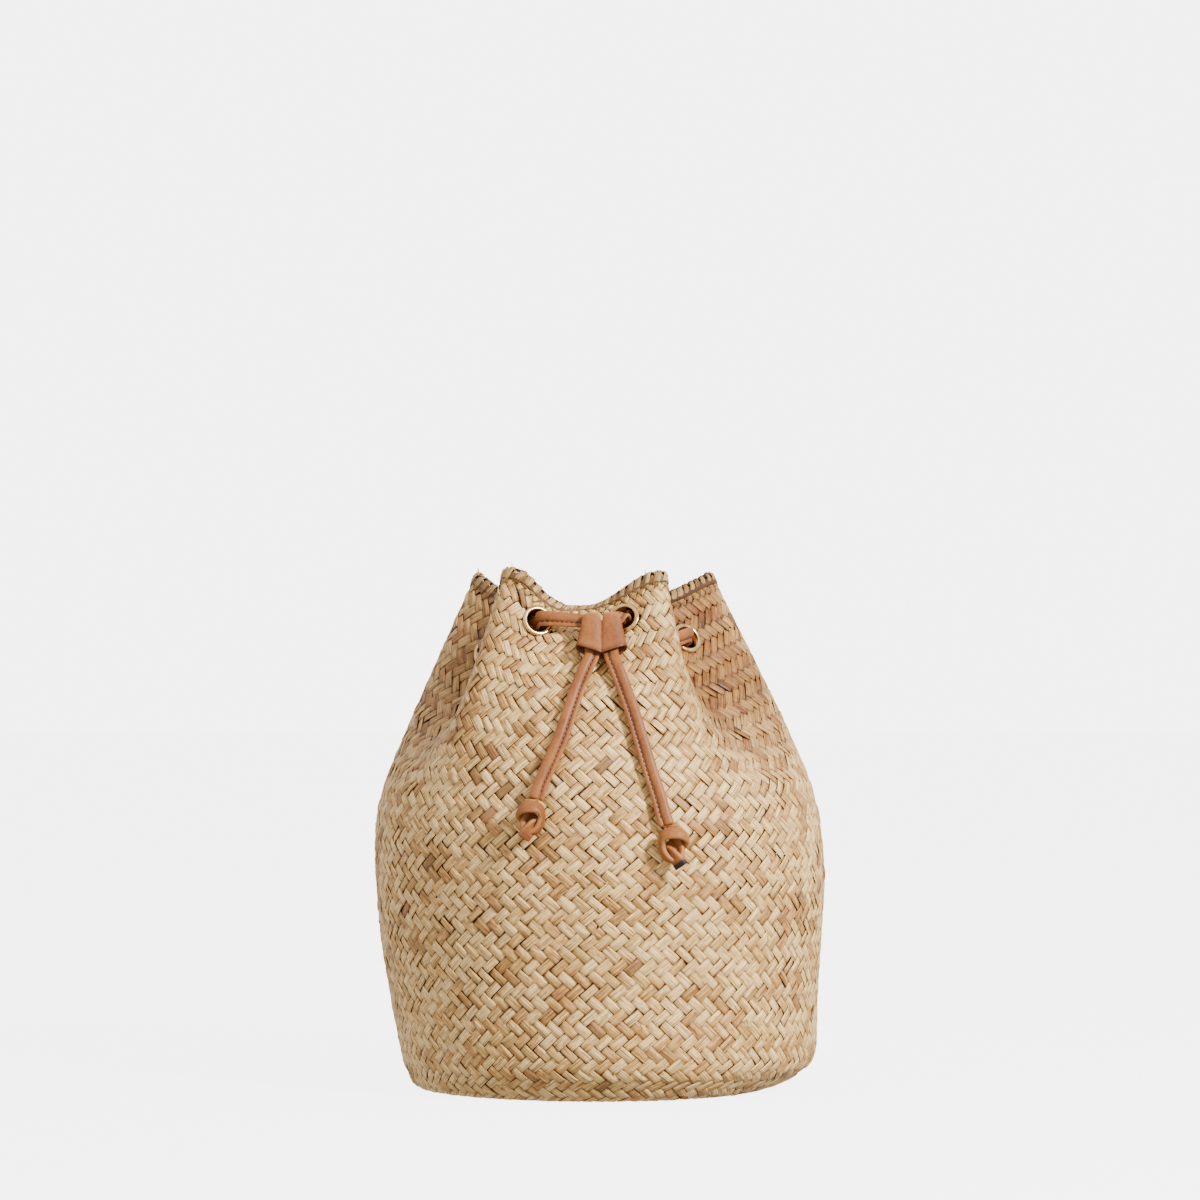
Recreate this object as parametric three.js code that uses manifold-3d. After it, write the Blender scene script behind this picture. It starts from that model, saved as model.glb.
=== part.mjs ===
// Woven straw backpack: a soft bucket of plaited straw whose mouth is drawn into six folds by a leather
// cord. Millimetres, +Z up, the front faces -Y. The bag stands on its flat base at z = 0.
import * as THREE from 'three';
import { mergeVertices } from 'three/addons/utils/BufferGeometryUtils.js';
import Module from 'manifold-3d';

const wasm = await Module();
wasm.setup();

// Driving sizes of the bag
const BAG_HEIGHT = 331;
const BELLY_WIDTH = 287.6;
const SHOULDER_HEIGHT = 192; // the folds of the mouth begin here
const WALL = 2.6;
const WALL_SIDES = 72;

// Driving sizes of the fittings
const EYELET_BORE = 13.6;
const EYELET_FLANGE = 20.6;
const EYELET_BARREL_WALL = 0.8;
const EYELET_FLANGE_THICKNESS = 1.2;
const EYELET_SIDES = 12;
const EYELET_ROLL = 0.6; // how far a flange rolls down into the bore, as a share of its thickness
const FIT_GAP = 0.3; // left between pieces that touch
const CORD_WIDTH = 9.4;
const CORD_THICKNESS = 4.4;
const CORD_BEVEL = 1.3;
const CORD_CLEAR = 5.5; // how far from the middle of the straw the cord turns aside at an eyelet
const SLIDER_HEIGHT = 24;
const SLIDER_LOOPS = 12; // height of the two closed loops, below the open shield
const SLIDER_LEATHER = 1.8;
const SLIDER_SEAM = 1.6; // leather between the two loops
const SLIDER_LEAN = 30; // degrees from upright
const SLIDER_PLACE = { left: 14.1, out: 18.7, down: 18.7 }; // its lower edge, from the second eyelet
const CORD_SET_BACK = 1.1; // how far the cord keeps behind the slider's middle plane at its top
const CORD_STEPS = 92;
const STRAP_WIDTH = 20;
const STRAP_THICKNESS = 3;
const STRAP_BEVEL = 0.8;
const KNOT_DEPTH = 15;

// The meridian of the body from the edge of the base to the shoulder. Height is a share of the shoulder
// height. Left, right and deep (front and back) are shares of half the belly width.
const BODY_SECTIONS = [
  { height: 0, left: 0.8, right: 0.735, deep: 0.755 },
  { height: 0.02, left: 0.838, right: 0.819, deep: 0.8 },
  { height: 0.052, left: 0.856, right: 0.89, deep: 0.84 },
  { height: 0.088, left: 0.877, right: 0.944, deep: 0.885 },
  { height: 0.156, left: 0.897, right: 0.966, deep: 0.92 },
  { height: 0.286, left: 0.93, right: 0.968, deep: 0.945 },
  { height: 0.49, left: 0.974, right: 0.986, deep: 0.975 },
  { height: 0.71, left: 1, right: 1, deep: 1 },
  { height: 0.885, left: 0.998, right: 0.979, deep: 0.988 },
  { height: 1, left: 0.965, right: 0.943, deep: 0.962 },
];

// The mouth runs round twelve bends like a belt. Turn is where a bend's fold starts on the body, in degrees
// from straight ahead. x, y and round are the centre and radius of the bend as shares of half the belly
// width: a crest bends outwards, and a valley, with a negative radius, inwards. Height is a share of the bag
// height, and fall is the share of the next flank over which the rim changes height. The straw of a fold
// leans in along a curve: its handle is raised by lift and drawn in by draw, as shares of the whole way.
const MOUTH_BENDS = [
  { turn: -8, x: -0.066, y: -0.577, round: -0.104, height: 0.93, fall: 1, lift: 0.8, draw: 0.35 },
  { turn: 27, x: 0.232, y: -0.577, round: 0.056, height: 0.993, fall: 0.9, lift: 0.5, draw: 0.6 },
  { turn: 54, x: 0.32, y: -0.2, round: -0.07, height: 0.95, fall: 1, lift: 0.5, draw: 0.86 },
  { turn: 95, x: 0.43, y: 0.13, round: 0.07, height: 0.993, fall: 0.9, lift: 0.5, draw: 0.46 },
  { turn: 121, x: 0.33, y: 0.27, round: -0.07, height: 0.94, fall: 0.9, lift: 0.5, draw: 0.7 },
  { turn: 150, x: 0.22, y: 0.58, round: 0.063, height: 0.97, fall: 0.9, lift: 0.5, draw: 0.46 },
  { turn: 178, x: -0.055, y: 0.56, round: -0.104, height: 0.925, fall: 0.9, lift: 0.75, draw: 0.42 },
  { turn: 206, x: -0.36, y: 0.58, round: 0.063, height: 0.975, fall: 0.9, lift: 0.5, draw: 0.46 },
  { turn: 236, x: -0.42, y: 0.27, round: -0.07, height: 0.94, fall: 0.9, lift: 0.5, draw: 0.7 },
  { turn: 261, x: -0.487, y: 0.12, round: 0.07, height: 0.992, fall: 1, lift: 0.5, draw: 0.46 },
  { turn: 290, x: -0.43, y: -0.2, round: -0.07, height: 0.945, fall: 0.85, lift: 0.5, draw: 0.84 },
  { turn: 318, x: -0.355, y: -0.588, round: 0.063, height: 1, fall: 0.78, lift: 0.5, draw: 0.46 },
];
const SHOULDER_RISE = 0.13; // share of a fold's rise over which the body's slope carries on

// Two eyelets beside each valley. Before and after are how far they stand from the middle of the valley to
// either side, and drop is how far below the rim, as shares of the bag height.
const VALLEY_EYELETS = [
  { bend: 0, before: 0.078, after: 0.078, drop: 0.055 },
  { bend: 2, before: 0.062, after: 0.042, drop: 0.077 },
  { bend: 4, before: 0.06, after: 0.06, drop: 0.09 },
  { bend: 6, before: 0.078, after: 0.078, drop: 0.07 },
  { bend: 8, before: 0.06, after: 0.06, drop: 0.09 },
  { bend: 10, before: 0.036, after: 0.07, drop: 0.09 },
];

// The middles of the cord's two free ends as they lie down the front, from below the slider to the knot.
const TAIL_ROUTES = {
  tail_left: [
    { x: -8.6, y: -114.2, z: 269 },
    { x: -12.4, y: -117, z: 260 },
    { x: -18.4, y: -124.4, z: 243 },
    { x: -24.6, y: -131, z: 225 },
    { x: -31.5, y: -135, z: 209 },
    { x: -36.3, y: -138.2, z: 198 },
    { x: -39.1, y: -140.3, z: 188.8 },
  ],
  tail_right: [
    { x: 9.8, y: -114.6, z: 270 },
    { x: 13.6, y: -118, z: 260 },
    { x: 19.7, y: -124.8, z: 243 },
    { x: 25.2, y: -130.8, z: 225 },
    { x: 30.9, y: -136, z: 206 },
    { x: 36.4, y: -139.4, z: 189 },
    { x: 38.2, y: -140.8, z: 182 },
    { x: 41, y: -142.4, z: 173 },
  ],
};

// The knots: middles and sizes across and up.
const KNOTS = {
  knot_left: { x: -42, y: -142.9, z: 177, across: 21, up: 26 },
  knot_right: { x: 44.5, y: -144.3, z: 160.5, across: 23, up: 27 },
};

// The right shoulder strap; the left one mirrors it. Its two ends are stitched flat to the straw at a turn
// from the middle of the back and a height, and reach on below that height. Between them it hangs free
// through these places. All lengths are shares of the bag height.
const STRAP_STITCHED = { turn: 7, height: 0.713, below: 0.042 };
const STRAP_FREE = [
  { x: 0.066, y: 0.462, z: 0.598 },
  { x: 0.103, y: 0.523, z: 0.483 },
  { x: 0.148, y: 0.535, z: 0.366 },
  { x: 0.193, y: 0.477, z: 0.26 },
  { x: 0.224, y: 0.387, z: 0.19 },
];
const STRAP_FOOT = { turn: 37, height: 0.139, below: 0.042 };
const STRAP_LIFT = 1.2; // how far a strap has already left the straw at the top of a stitched end

const halfBelly = BELLY_WIDTH / 2;

// Smooth curve through rows of numbers: the value at a place given in rows, such as 2.4.
function throughRows(rows, name, place) {
  const last = rows.length - 1;
  const row = Math.min(Math.floor(place), last - 1);
  const share = place - row;
  const at = (k) => rows[THREE.MathUtils.clamp(k, 0, last)][name];
  const before = (at(row + 1) - at(row - 1)) / (row === 0 ? 1 : 2);
  const after = (at(row + 2) - at(row)) / (row + 1 === last ? 1 : 2);
  const square = share * share;
  const cube = square * share;
  return (
    (2 * cube - 3 * square + 1) * at(row) +
    (cube - 2 * square + share) * before +
    (3 * square - 2 * cube) * at(row + 1) +
    (cube - square) * after
  );
}

// A point of the body: turn is the angle from straight ahead to the right, place counts section rows.
function bodyPoint(turn, place) {
  const side = Math.sin(turn) < 0 ? 'left' : 'right';
  return new THREE.Vector3(
    halfBelly * throughRows(BODY_SECTIONS, side, place) * Math.sin(turn),
    -halfBelly * throughRows(BODY_SECTIONS, 'deep', place) * Math.cos(turn),
    SHOULDER_HEIGHT * throughRows(BODY_SECTIONS, 'height', place),
  );
}

// The mouth seen from above, as arcs and straight flanks between them, with the middle of each bend.
function mouthPieces() {
  const bends = MOUTH_BENDS.map((bend) => ({
    centre: new THREE.Vector2(bend.x * halfBelly, bend.y * halfBelly),
    radius: bend.round * halfBelly,
  }));
  const count = bends.length;
  const headings = bends.map((bend, k) => {
    const next = bends[(k + 1) % count];
    const step = next.centre.clone().sub(bend.centre);
    return Math.atan2(step.y, step.x) - Math.asin((next.radius - bend.radius) / step.length());
  });
  const pieces = [];
  const middles = [];
  let run = 0;
  bends.forEach((bend, k) => {
    const from = headings[(k + count - 1) % count];
    const turn = Math.atan2(Math.sin(headings[k] - from), Math.cos(headings[k] - from));
    const arc = { start: run, length: Math.abs(turn * bend.radius), bend, from, turn };
    pieces.push(arc);
    middles.push(run + arc.length / 2);
    run += arc.length;
    const begin = onBend(bend, headings[k]);
    const end = onBend(bends[(k + 1) % count], headings[k]);
    const flank = { start: run, length: begin.distanceTo(end), begin, end };
    pieces.push(flank);
    run += flank.length;
  });
  return { pieces, middles, length: run };
}

// The point of a bend where the mouth's edge has this heading.
function onBend(bend, heading) {
  return new THREE.Vector2(Math.sin(heading), -Math.cos(heading)).multiplyScalar(bend.radius).add(bend.centre);
}

const mouth = mouthPieces();

// How far along the mouth's edge the straw of a turn lies: a smooth run through the middles of the bends.
function mouthRun(turn) {
  const count = MOUTH_BENDS.length;
  const degrees = THREE.MathUtils.euclideanModulo(THREE.MathUtils.radToDeg(turn) - MOUTH_BENDS[0].turn, 360);
  const at = (k) => MOUTH_BENDS[(k + count) % count].turn - MOUTH_BENDS[0].turn + 360 * Math.floor(k / count);
  const run = (k) => mouth.middles[(k + count) % count] + mouth.length * Math.floor(k / count);
  let bend = 0;
  while (at(bend + 1) <= degrees) {
    bend += 1;
  }
  const gap = at(bend + 1) - at(bend);
  const share = (degrees - at(bend)) / gap;
  const slope = (k) => ((run(k + 1) - run(k - 1)) / (at(k + 1) - at(k - 1))) * gap;
  const square = share * share;
  const cube = square * share;
  const place =
    (2 * cube - 3 * square + 1) * run(bend) +
    (cube - 2 * square + share) * slope(bend) +
    (3 * square - 2 * cube) * run(bend + 1) +
    (cube - square) * slope(bend + 1);
  const along = (place - run(bend)) / (run(bend + 1) - run(bend));
  return { place, bend, along };
}

// A point of the rim for a turn, with the lift and draw of the straw below it.
function rimPoint(turn) {
  const { place, bend, along } = mouthRun(turn);
  const run = THREE.MathUtils.euclideanModulo(place, mouth.length);
  const piece = mouth.pieces.findLast((each) => each.start <= run);
  const share = (run - piece.start) / piece.length;
  const plan = piece.bend
    ? onBend(piece.bend, piece.from + piece.turn * share)
    : piece.begin.clone().lerp(piece.end, share);
  const here = MOUTH_BENDS[bend];
  const next = MOUTH_BENDS[(bend + 1) % MOUTH_BENDS.length];
  const change = here.round > 0
    ? THREE.MathUtils.smoothstep(along, 0, here.fall)
    : THREE.MathUtils.smoothstep(along, 1 - here.fall, 1);
  const between = (name) => THREE.MathUtils.lerp(here[name], next[name], change);
  return {
    point: new THREE.Vector3(plan.x, plan.y, between('height') * BAG_HEIGHT),
    lift: between('lift'),
    draw: between('draw'),
  };
}

const bodyRows = BODY_SECTIONS.length - 1;

// A point of the straw's outer face. Turn is the angle from straight ahead to the right. Level is 0 at the
// edge of the base, 1 at the shoulder and 2 at the rim.
function strawPoint(turn, level) {
  if (level <= 1) {
    return bodyPoint(turn, Math.max(level, 0) * bodyRows);
  }
  const foot = bodyPoint(turn, bodyRows);
  const rim = rimPoint(turn);
  const rise = (rim.point.z - foot.z) * SHOULDER_RISE;
  const slope = foot.clone().sub(bodyPoint(turn, bodyRows - 0.25));
  const start = foot.clone().addScaledVector(slope, rise / slope.z);
  const handle = foot.clone().lerp(rim.point, rim.draw);
  handle.z = THREE.MathUtils.lerp(foot.z, rim.point.z, rim.lift);
  return new THREE.CubicBezierCurve3(foot, start, handle, rim.point).getPoint(level - 1);
}

// The outward normal of the straw at a place.
function strawNormal(turn, level) {
  const step = 0.01;
  const high = Math.min(level + step, 2);
  const low = high - step * 2;
  const across = strawPoint(turn + step, level).sub(strawPoint(turn - step, level));
  const up = strawPoint(turn, high).sub(strawPoint(turn, low));
  return across.cross(up).normalize();
}

// A point set off from the straw's outer face: outwards if positive.
function offStraw(turn, level, distance) {
  return strawPoint(turn, level).addScaledVector(strawNormal(turn, level), distance);
}

// Joins rings of equally many points into one closed body. The first and last rings close on a middle point.
function closedBody(rings) {
  const around = rings[0].length;
  const positions = rings.flat().flatMap((point) => point.toArray());
  const index = [];
  for (let ring = 0; ring < rings.length - 1; ring++) {
    for (let k = 0; k < around; k++) {
      const a = ring * around + k;
      const b = ring * around + ((k + 1) % around);
      index.push(a, b, b + around, a, b + around, a + around);
    }
  }
  [0, rings.length - 1].forEach((ring) => {
    const middle = new THREE.Vector3();
    rings[ring].forEach((point) => middle.addScaledVector(point, 1 / around));
    const centre = positions.length / 3;
    positions.push(...middle.toArray());
    for (let k = 0; k < around; k++) {
      const a = ring * around + k;
      const b = ring * around + ((k + 1) % around);
      index.push(...(ring === 0 ? [centre, b, a] : [centre, a, b]));
    }
  });
  const geometry = new THREE.BufferGeometry();
  geometry.setAttribute('position', new THREE.Float32BufferAttribute(positions, 3));
  geometry.setIndex(index);
  return geometry;
}

function toSolid(geometry) {
  const bare = geometry.clone();
  bare.deleteAttribute('normal');
  bare.deleteAttribute('uv');
  const merged = mergeVertices(bare, 1e-4);
  return new wasm.Manifold(
    new wasm.Mesh({
      numProp: 3,
      vertProperties: new Float32Array(merged.attributes.position.array),
      triVerts: new Uint32Array(merged.index.array),
    }),
  );
}

function toGeometry(solid) {
  const mesh = solid.getMesh();
  const geometry = new THREE.BufferGeometry();
  geometry.setAttribute('position', new THREE.BufferAttribute(new Float32Array(mesh.vertProperties), 3));
  geometry.setIndex(new THREE.BufferAttribute(new Uint32Array(mesh.triVerts), 1));
  return geometry;
}

// The turn whose straw meets the mouth's edge at a run, found by halving.
function turnAt(run) {
  const first = THREE.MathUtils.degToRad(MOUTH_BENDS[0].turn);
  let low = first - Math.PI;
  let high = first + 2 * Math.PI;
  const whole = (turn) => mouthRun(turn).place + mouth.length * Math.floor((turn - first) / (2 * Math.PI));
  for (let halving = 0; halving < 40; halving++) {
    const middle = (low + high) / 2;
    if (whole(middle) < run) {
      low = middle;
    } else {
      high = middle;
    }
  }
  return low;
}

const eyelets = VALLEY_EYELETS.flatMap(({ bend, before, after, drop }) =>
  [-before, after].map((reach) => {
    const turn = turnAt(mouth.middles[bend] + reach * BAG_HEIGHT);
    const length = strawPoint(turn, 2).distanceTo(strawPoint(turn, 1));
    const level = 2 - (drop * BAG_HEIGHT) / length;
    return {
      centre: offStraw(turn, level, -WALL / 2),
      axis: strawNormal(turn, level),
    };
  }),
);

const barrelRadius = EYELET_BORE / 2 + EYELET_BARREL_WALL;
const flangeRadius = EYELET_FLANGE / 2;
const flangeInside = WALL / 2 + FIT_GAP; // from the middle of the straw to a flange
const flangeOutside = flangeInside + EYELET_FLANGE_THICKNESS;

// Turns a lathed piece, made along +Y, so that it stands along an eyelet's axis.
function alongAxis(geometry, eyelet) {
  const turn = new THREE.Quaternion().setFromUnitVectors(new THREE.Vector3(0, 1, 0), eyelet.axis);
  return geometry.applyQuaternion(turn).translate(...eyelet.centre.toArray());
}

function lathe(outline, sides) {
  return new THREE.LatheGeometry(
    outline.map(([radius, height]) => new THREE.Vector2(radius, height)),
    sides,
  );
}

// A flanged eyelet: a barrel through the straw with a rounded flange on each face.
function eyeletGeometry(eyelet) {
  const bore = EYELET_BORE / 2;
  const rise = EYELET_FLANGE_THICKNESS * EYELET_ROLL;
  const outline = [
    [bore, -flangeOutside + rise],
    [(bore + flangeRadius) / 2, -flangeOutside],
    [flangeRadius, -flangeInside],
    [barrelRadius, -flangeInside],
    [barrelRadius, flangeInside],
    [flangeRadius, flangeInside],
    [(bore + flangeRadius) / 2, flangeOutside],
    [bore, flangeOutside - rise],
    [bore, -flangeOutside + rise],
  ];
  return alongAxis(lathe(outline, EYELET_SIDES), eyelet);
}

// What the straw gives up for an eyelet: the hole, and a flat seat under each flange.
function eyeletRoom(eyelet) {
  const hole = barrelRadius + FIT_GAP;
  const seat = flangeRadius + FIT_GAP;
  const half = WALL / 2;
  const far = flangeOutside + WALL;
  const outline = [
    [0, -far],
    [seat, -far],
    [seat, -half],
    [hole, -half],
    [hole, half],
    [seat, half],
    [seat, far],
    [0, far],
  ];
  return toSolid(alongAxis(lathe(outline, EYELET_SIDES), eyelet));
}

// The straw wall: rings up the outer face, over the rim and down the inner face to the inside of the base.
function strawBody() {
  const bodyPlaces = [0, 0.6, 1.4, 2.6, 4.2, 6, 7.5];
  const foldLevels = [1, 1.16, 1.32, 1.48, 1.65, 1.82, 2];
  const levels = [...bodyPlaces.map((place) => place / bodyRows), ...foldLevels];
  const ring = (level, depth) =>
    Array.from({ length: WALL_SIDES }, (_, k) => offStraw((k / WALL_SIDES) * 2 * Math.PI, level, -depth));
  const outer = levels.map((level) => ring(level, 0));
  const inner = levels.map((level) => ring(level, WALL)).reverse();
  inner.forEach((points) => points.forEach((point) => { point.z = Math.max(point.z, WALL); }));
  const wall = toSolid(closedBody([...outer, ...inner]));
  return toGeometry(eyelets.reduce((solid, eyelet) => solid.subtract(eyeletRoom(eyelet)), wall));
}

// A flat band swept along a route. Across gives the direction of its width at each point of the route.
function band(points, across, { width, thickness, bevel }, steps) {
  const route = new THREE.CatmullRomCurve3(points, false, 'centripetal');
  const lean = new THREE.CatmullRomCurve3(across, false, 'centripetal');
  const u = width / 2;
  const v = thickness / 2;
  const outline = [
    [u, v - bevel],
    [u, bevel - v],
    [u - bevel, -v],
    [bevel - u, -v],
    [-u, bevel - v],
    [-u, v - bevel],
    [bevel - u, v],
    [u - bevel, v],
  ];
  const rings = [];
  for (let k = 0; k <= steps; k++) {
    const place = k / steps;
    const heading = route.getTangent(place);
    const side = lean.getPoint(place);
    side.addScaledVector(heading, -side.dot(heading)).normalize();
    const out = new THREE.Vector3().crossVectors(side, heading);
    const centre = route.getPoint(place);
    rings.push(outline.map(([a, b]) => centre.clone().addScaledVector(side, a).addScaledVector(out, b)));
  }
  return closedBody(rings);
}

const cord = { width: CORD_WIDTH, thickness: CORD_THICKNESS, bevel: CORD_BEVEL };
const strap = { width: STRAP_WIDTH, thickness: STRAP_THICKNESS, bevel: STRAP_BEVEL };
const sideways = new THREE.Vector3(1, 0, 0);
const upright = new THREE.Vector3(0, 0, 1);
const lean = THREE.MathUtils.degToRad(SLIDER_LEAN);
const sliderUp = new THREE.Vector3(0, Math.sin(lean), Math.cos(lean));
const sliderOut = new THREE.Vector3(0, -Math.cos(lean), Math.sin(lean));
const sliderFoot = eyelets[1].centre.clone()
  .add(new THREE.Vector3(-SLIDER_PLACE.left, -SLIDER_PLACE.out, -SLIDER_PLACE.down));
const loopWidth = CORD_WIDTH + 2 * FIT_GAP;
const loopDepth = CORD_THICKNESS + 2 * FIT_GAP;
const loopMiddle = (loopWidth + SLIDER_SEAM) / 2;
const cordJoin = SLIDER_LOOPS / 2; // where the cord's loop meets its free end inside the slider

// A place on the slider's own middle plane: right of its middle and up from its lower edge.
function onSlider(right, up) {
  return sliderFoot.clone().addScaledVector(sideways, right).addScaledVector(sliderUp, up);
}

// The cord on the left of the slider: from its join up, and over to the left in a quarter turn.
function leftOfSlider() {
  const bend = CORD_WIDTH * 0.75;
  const top = SLIDER_LOOPS + bend + 2;
  const corner = [1, 0.75, 0.5, 0.25, 0].map((share) => {
    const angle = (share * Math.PI) / 2;
    const right = -loopMiddle - bend * (1 - Math.cos(angle));
    return {
      point: onSlider(right, top - bend * (1 - Math.sin(angle))).addScaledVector(sliderOut, -CORD_SET_BACK * share),
      across: sideways.clone().multiplyScalar(Math.cos(angle)).addScaledVector(sliderUp, Math.sin(angle)),
    };
  });
  return [...corner, { point: onSlider(-loopMiddle, cordJoin + FIT_GAP / 2), across: sideways }];
}

// The cord on the right of the slider: from its join up, leaning back towards the first eyelet.
function rightOfSlider() {
  const back = sideways.clone().negate();
  const stops = [
    onSlider(loopMiddle, cordJoin + FIT_GAP / 2),
    onSlider(loopMiddle, SLIDER_LOOPS + 2),
    onSlider(loopMiddle + 2, SLIDER_LOOPS + 9).addScaledVector(sliderOut, -CORD_SET_BACK),
  ];
  return stops.map((point) => ({ point, across: back }));
}

// The drawstring: over the slider, then out through one eyelet and in through the next, all the way round.
// Its width stands upright but in its first eyelet, where it still lies as in the slider.
function drawstring() {
  const count = eyelets.length;
  const stops = rightOfSlider();
  const through = (eyelet, way, across) => {
    [-1, 0, 1].forEach((share) => {
      stops.push({ point: eyelet.centre.clone().addScaledVector(eyelet.axis, CORD_CLEAR * way * share), across });
    });
  };
  for (let k = 1; k < count; k += 2) {
    through(eyelets[k], -1, k === 1 ? stops[0].across : upright);
    through(eyelets[(k + 1) % count], 1, upright);
  }
  stops.push(...leftOfSlider());
  return band(stops.map((stop) => stop.point), stops.map((stop) => stop.across), cord, CORD_STEPS);
}

// The slider: two closed loops of leather side by side, with a front shield that rises above them.
function slider() {
  const half = loopMiddle + loopWidth / 2 + SLIDER_LEATHER;
  const deep = loopDepth / 2 + SLIDER_LEATHER;
  const corner = SLIDER_LEATHER;
  const outline = new THREE.Shape([
    new THREE.Vector2(-half + corner, -deep),
    new THREE.Vector2(half - corner, -deep),
    new THREE.Vector2(half, -deep + corner),
    new THREE.Vector2(half, deep - corner),
    new THREE.Vector2(half - corner, deep),
    new THREE.Vector2(-half + corner, deep),
    new THREE.Vector2(-half, deep - corner),
    new THREE.Vector2(-half, -deep + corner),
  ]);
  const loops = new THREE.ExtrudeGeometry(outline, { depth: SLIDER_LOOPS, bevelEnabled: false });
  const shield = new THREE.BoxGeometry(2 * (half - corner), SLIDER_LEATHER, SLIDER_HEIGHT);
  shield.translate(0, SLIDER_LEATHER / 2 - deep, SLIDER_HEIGHT / 2);
  const channels = [-1, 1].map((side) =>
    new THREE.BoxGeometry(loopWidth, loopDepth, 3 * SLIDER_LOOPS).translate(side * loopMiddle, 0, 0),
  );
  const place = new THREE.Matrix4().makeBasis(sideways, sliderOut.clone().negate(), sliderUp);
  place.setPosition(onSlider(0, 0));
  const turned = (geometry) => toSolid(geometry.applyMatrix4(place));
  const solid = turned(loops).add(turned(shield));
  return toGeometry(channels.reduce((rest, channel) => rest.subtract(turned(channel)), solid));
}

// A free end of the cord, from the join inside the slider down to its knot.
function tail(name, side) {
  const start = [cordJoin - FIT_GAP / 2, 0, -CORD_WIDTH / 3].map((up) => onSlider(side * loopMiddle, up));
  const lying = TAIL_ROUTES[name].map(({ x, y, z }) => new THREE.Vector3(x, y, z));
  const points = [...start, ...lying];
  return band(points, points.map(() => sideways), cord, 14);
}

// A knot's outer form: a rounded lump that lies on the straw.
function knot({ x, y, z, across, up }) {
  const lump = new THREE.SphereGeometry(0.5, 12, 8);
  return lump.scale(across, KNOT_DEPTH, up).translate(x, y, z);
}

// The level on the straw of a turn where its outer face has this height, found by halving.
function levelAt(turn, height) {
  let low = 0;
  let high = 2;
  for (let halving = 0; halving < 40; halving++) {
    const middle = (low + high) / 2;
    if (strawPoint(turn, middle).z < height) {
      low = middle;
    } else {
      high = middle;
    }
  }
  return low;
}

// A shoulder strap, stitched flat to the straw at both ends. Side is 1 on the right and -1 on the left.
function shoulderStrap(side) {
  const seat = STRAP_THICKNESS / 2 + 2 * FIT_GAP;
  const onBack = ({ turn }, height, off) => {
    const place = Math.PI - THREE.MathUtils.degToRad(turn) * side;
    return offStraw(place, levelAt(place, height * BAG_HEIGHT), off);
  };
  const ends = (end) => [
    onBack(end, end.height, seat + STRAP_LIFT),
    onBack(end, end.height - end.below, seat),
  ];
  const free = STRAP_FREE.map(({ x, y, z }) => new THREE.Vector3(x * side, y, z).multiplyScalar(BAG_HEIGHT));
  const points = [...ends(STRAP_STITCHED), ...free, ...ends(STRAP_FOOT)];
  const foot = THREE.MathUtils.degToRad(STRAP_FOOT.turn);
  const across = points.map((_, k) => {
    const turn = foot * Math.max(0, (k - 2) / (points.length - 3)) * side;
    return new THREE.Vector3(Math.cos(turn), -Math.sin(turn), 0);
  });
  return band(points, across, strap, 16);
}

const metal = { color: 0xd9b978, roughness: 0.3, metalness: 1 };
const straw = { color: 0xd8c09a, roughness: 0.75, metalness: 0 };
const leather = { color: 0xb07a55, roughness: 0.55, metalness: 0 };

const group = new THREE.Group();

function addPiece(name, geometry, finish) {
  const mesh = new THREE.Mesh(geometry, new THREE.MeshStandardMaterial(finish));
  mesh.name = name;
  group.add(mesh);
}

addPiece('straw_body', strawBody(), straw);
eyelets.forEach((eyelet, k) => addPiece(`eyelet_${k + 1}`, eyeletGeometry(eyelet), metal));
addPiece('drawstring', drawstring(), leather);
addPiece('slider', slider(), leather);
addPiece('tail_left', tail('tail_left', -1), leather);
addPiece('tail_right', tail('tail_right', 1), leather);
addPiece('knot_left', knot(KNOTS.knot_left), leather);
addPiece('knot_right', knot(KNOTS.knot_right), leather);
addPiece('strap_left', shoulderStrap(-1), leather);
addPiece('strap_right', shoulderStrap(1), leather);

// The part's own frame has its origin under the middle of the bag and its straps, on the ground.
const loose = ['tail_left', 'tail_right', 'knot_left', 'knot_right'];
const box = new THREE.Box3();
group.children.filter((mesh) => !loose.includes(mesh.name)).forEach((mesh) => box.expandByObject(mesh));
const middle = box.getCenter(new THREE.Vector3());
group.position.set(-middle.x, -middle.y, -box.min.z);

export default group;
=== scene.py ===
# %% [markdown]
# # A woven straw backpack
# The bag is a soft bucket plaited from flat straw. Its mouth is drawn into six folds by a leather cord
# that runs through brass eyelets, and two leather straps hang at the back. The fixed frame brings the
# sizes. This lesson makes the surfaces: every strand of the plait, the leather, the brass and the light.

# %% Tools and the fixed frame
import math

import bpy
import numpy as np
from mathutils import Matrix, Vector


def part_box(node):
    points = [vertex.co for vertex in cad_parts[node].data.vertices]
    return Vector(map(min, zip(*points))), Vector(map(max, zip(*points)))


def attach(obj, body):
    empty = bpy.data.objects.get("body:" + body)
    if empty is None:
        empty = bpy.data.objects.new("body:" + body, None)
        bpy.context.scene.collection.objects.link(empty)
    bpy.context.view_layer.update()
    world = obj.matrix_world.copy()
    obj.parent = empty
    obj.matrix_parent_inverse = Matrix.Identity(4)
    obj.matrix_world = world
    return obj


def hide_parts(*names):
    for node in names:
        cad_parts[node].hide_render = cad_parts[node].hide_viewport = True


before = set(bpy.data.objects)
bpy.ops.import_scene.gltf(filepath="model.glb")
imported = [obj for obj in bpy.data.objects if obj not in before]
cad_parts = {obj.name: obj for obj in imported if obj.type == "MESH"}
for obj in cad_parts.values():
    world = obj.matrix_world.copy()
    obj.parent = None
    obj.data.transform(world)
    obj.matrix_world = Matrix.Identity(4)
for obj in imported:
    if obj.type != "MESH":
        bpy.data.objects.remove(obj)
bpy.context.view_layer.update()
bpy.ops.object.select_all(action="DESELECT")
MM = 0.001
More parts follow.
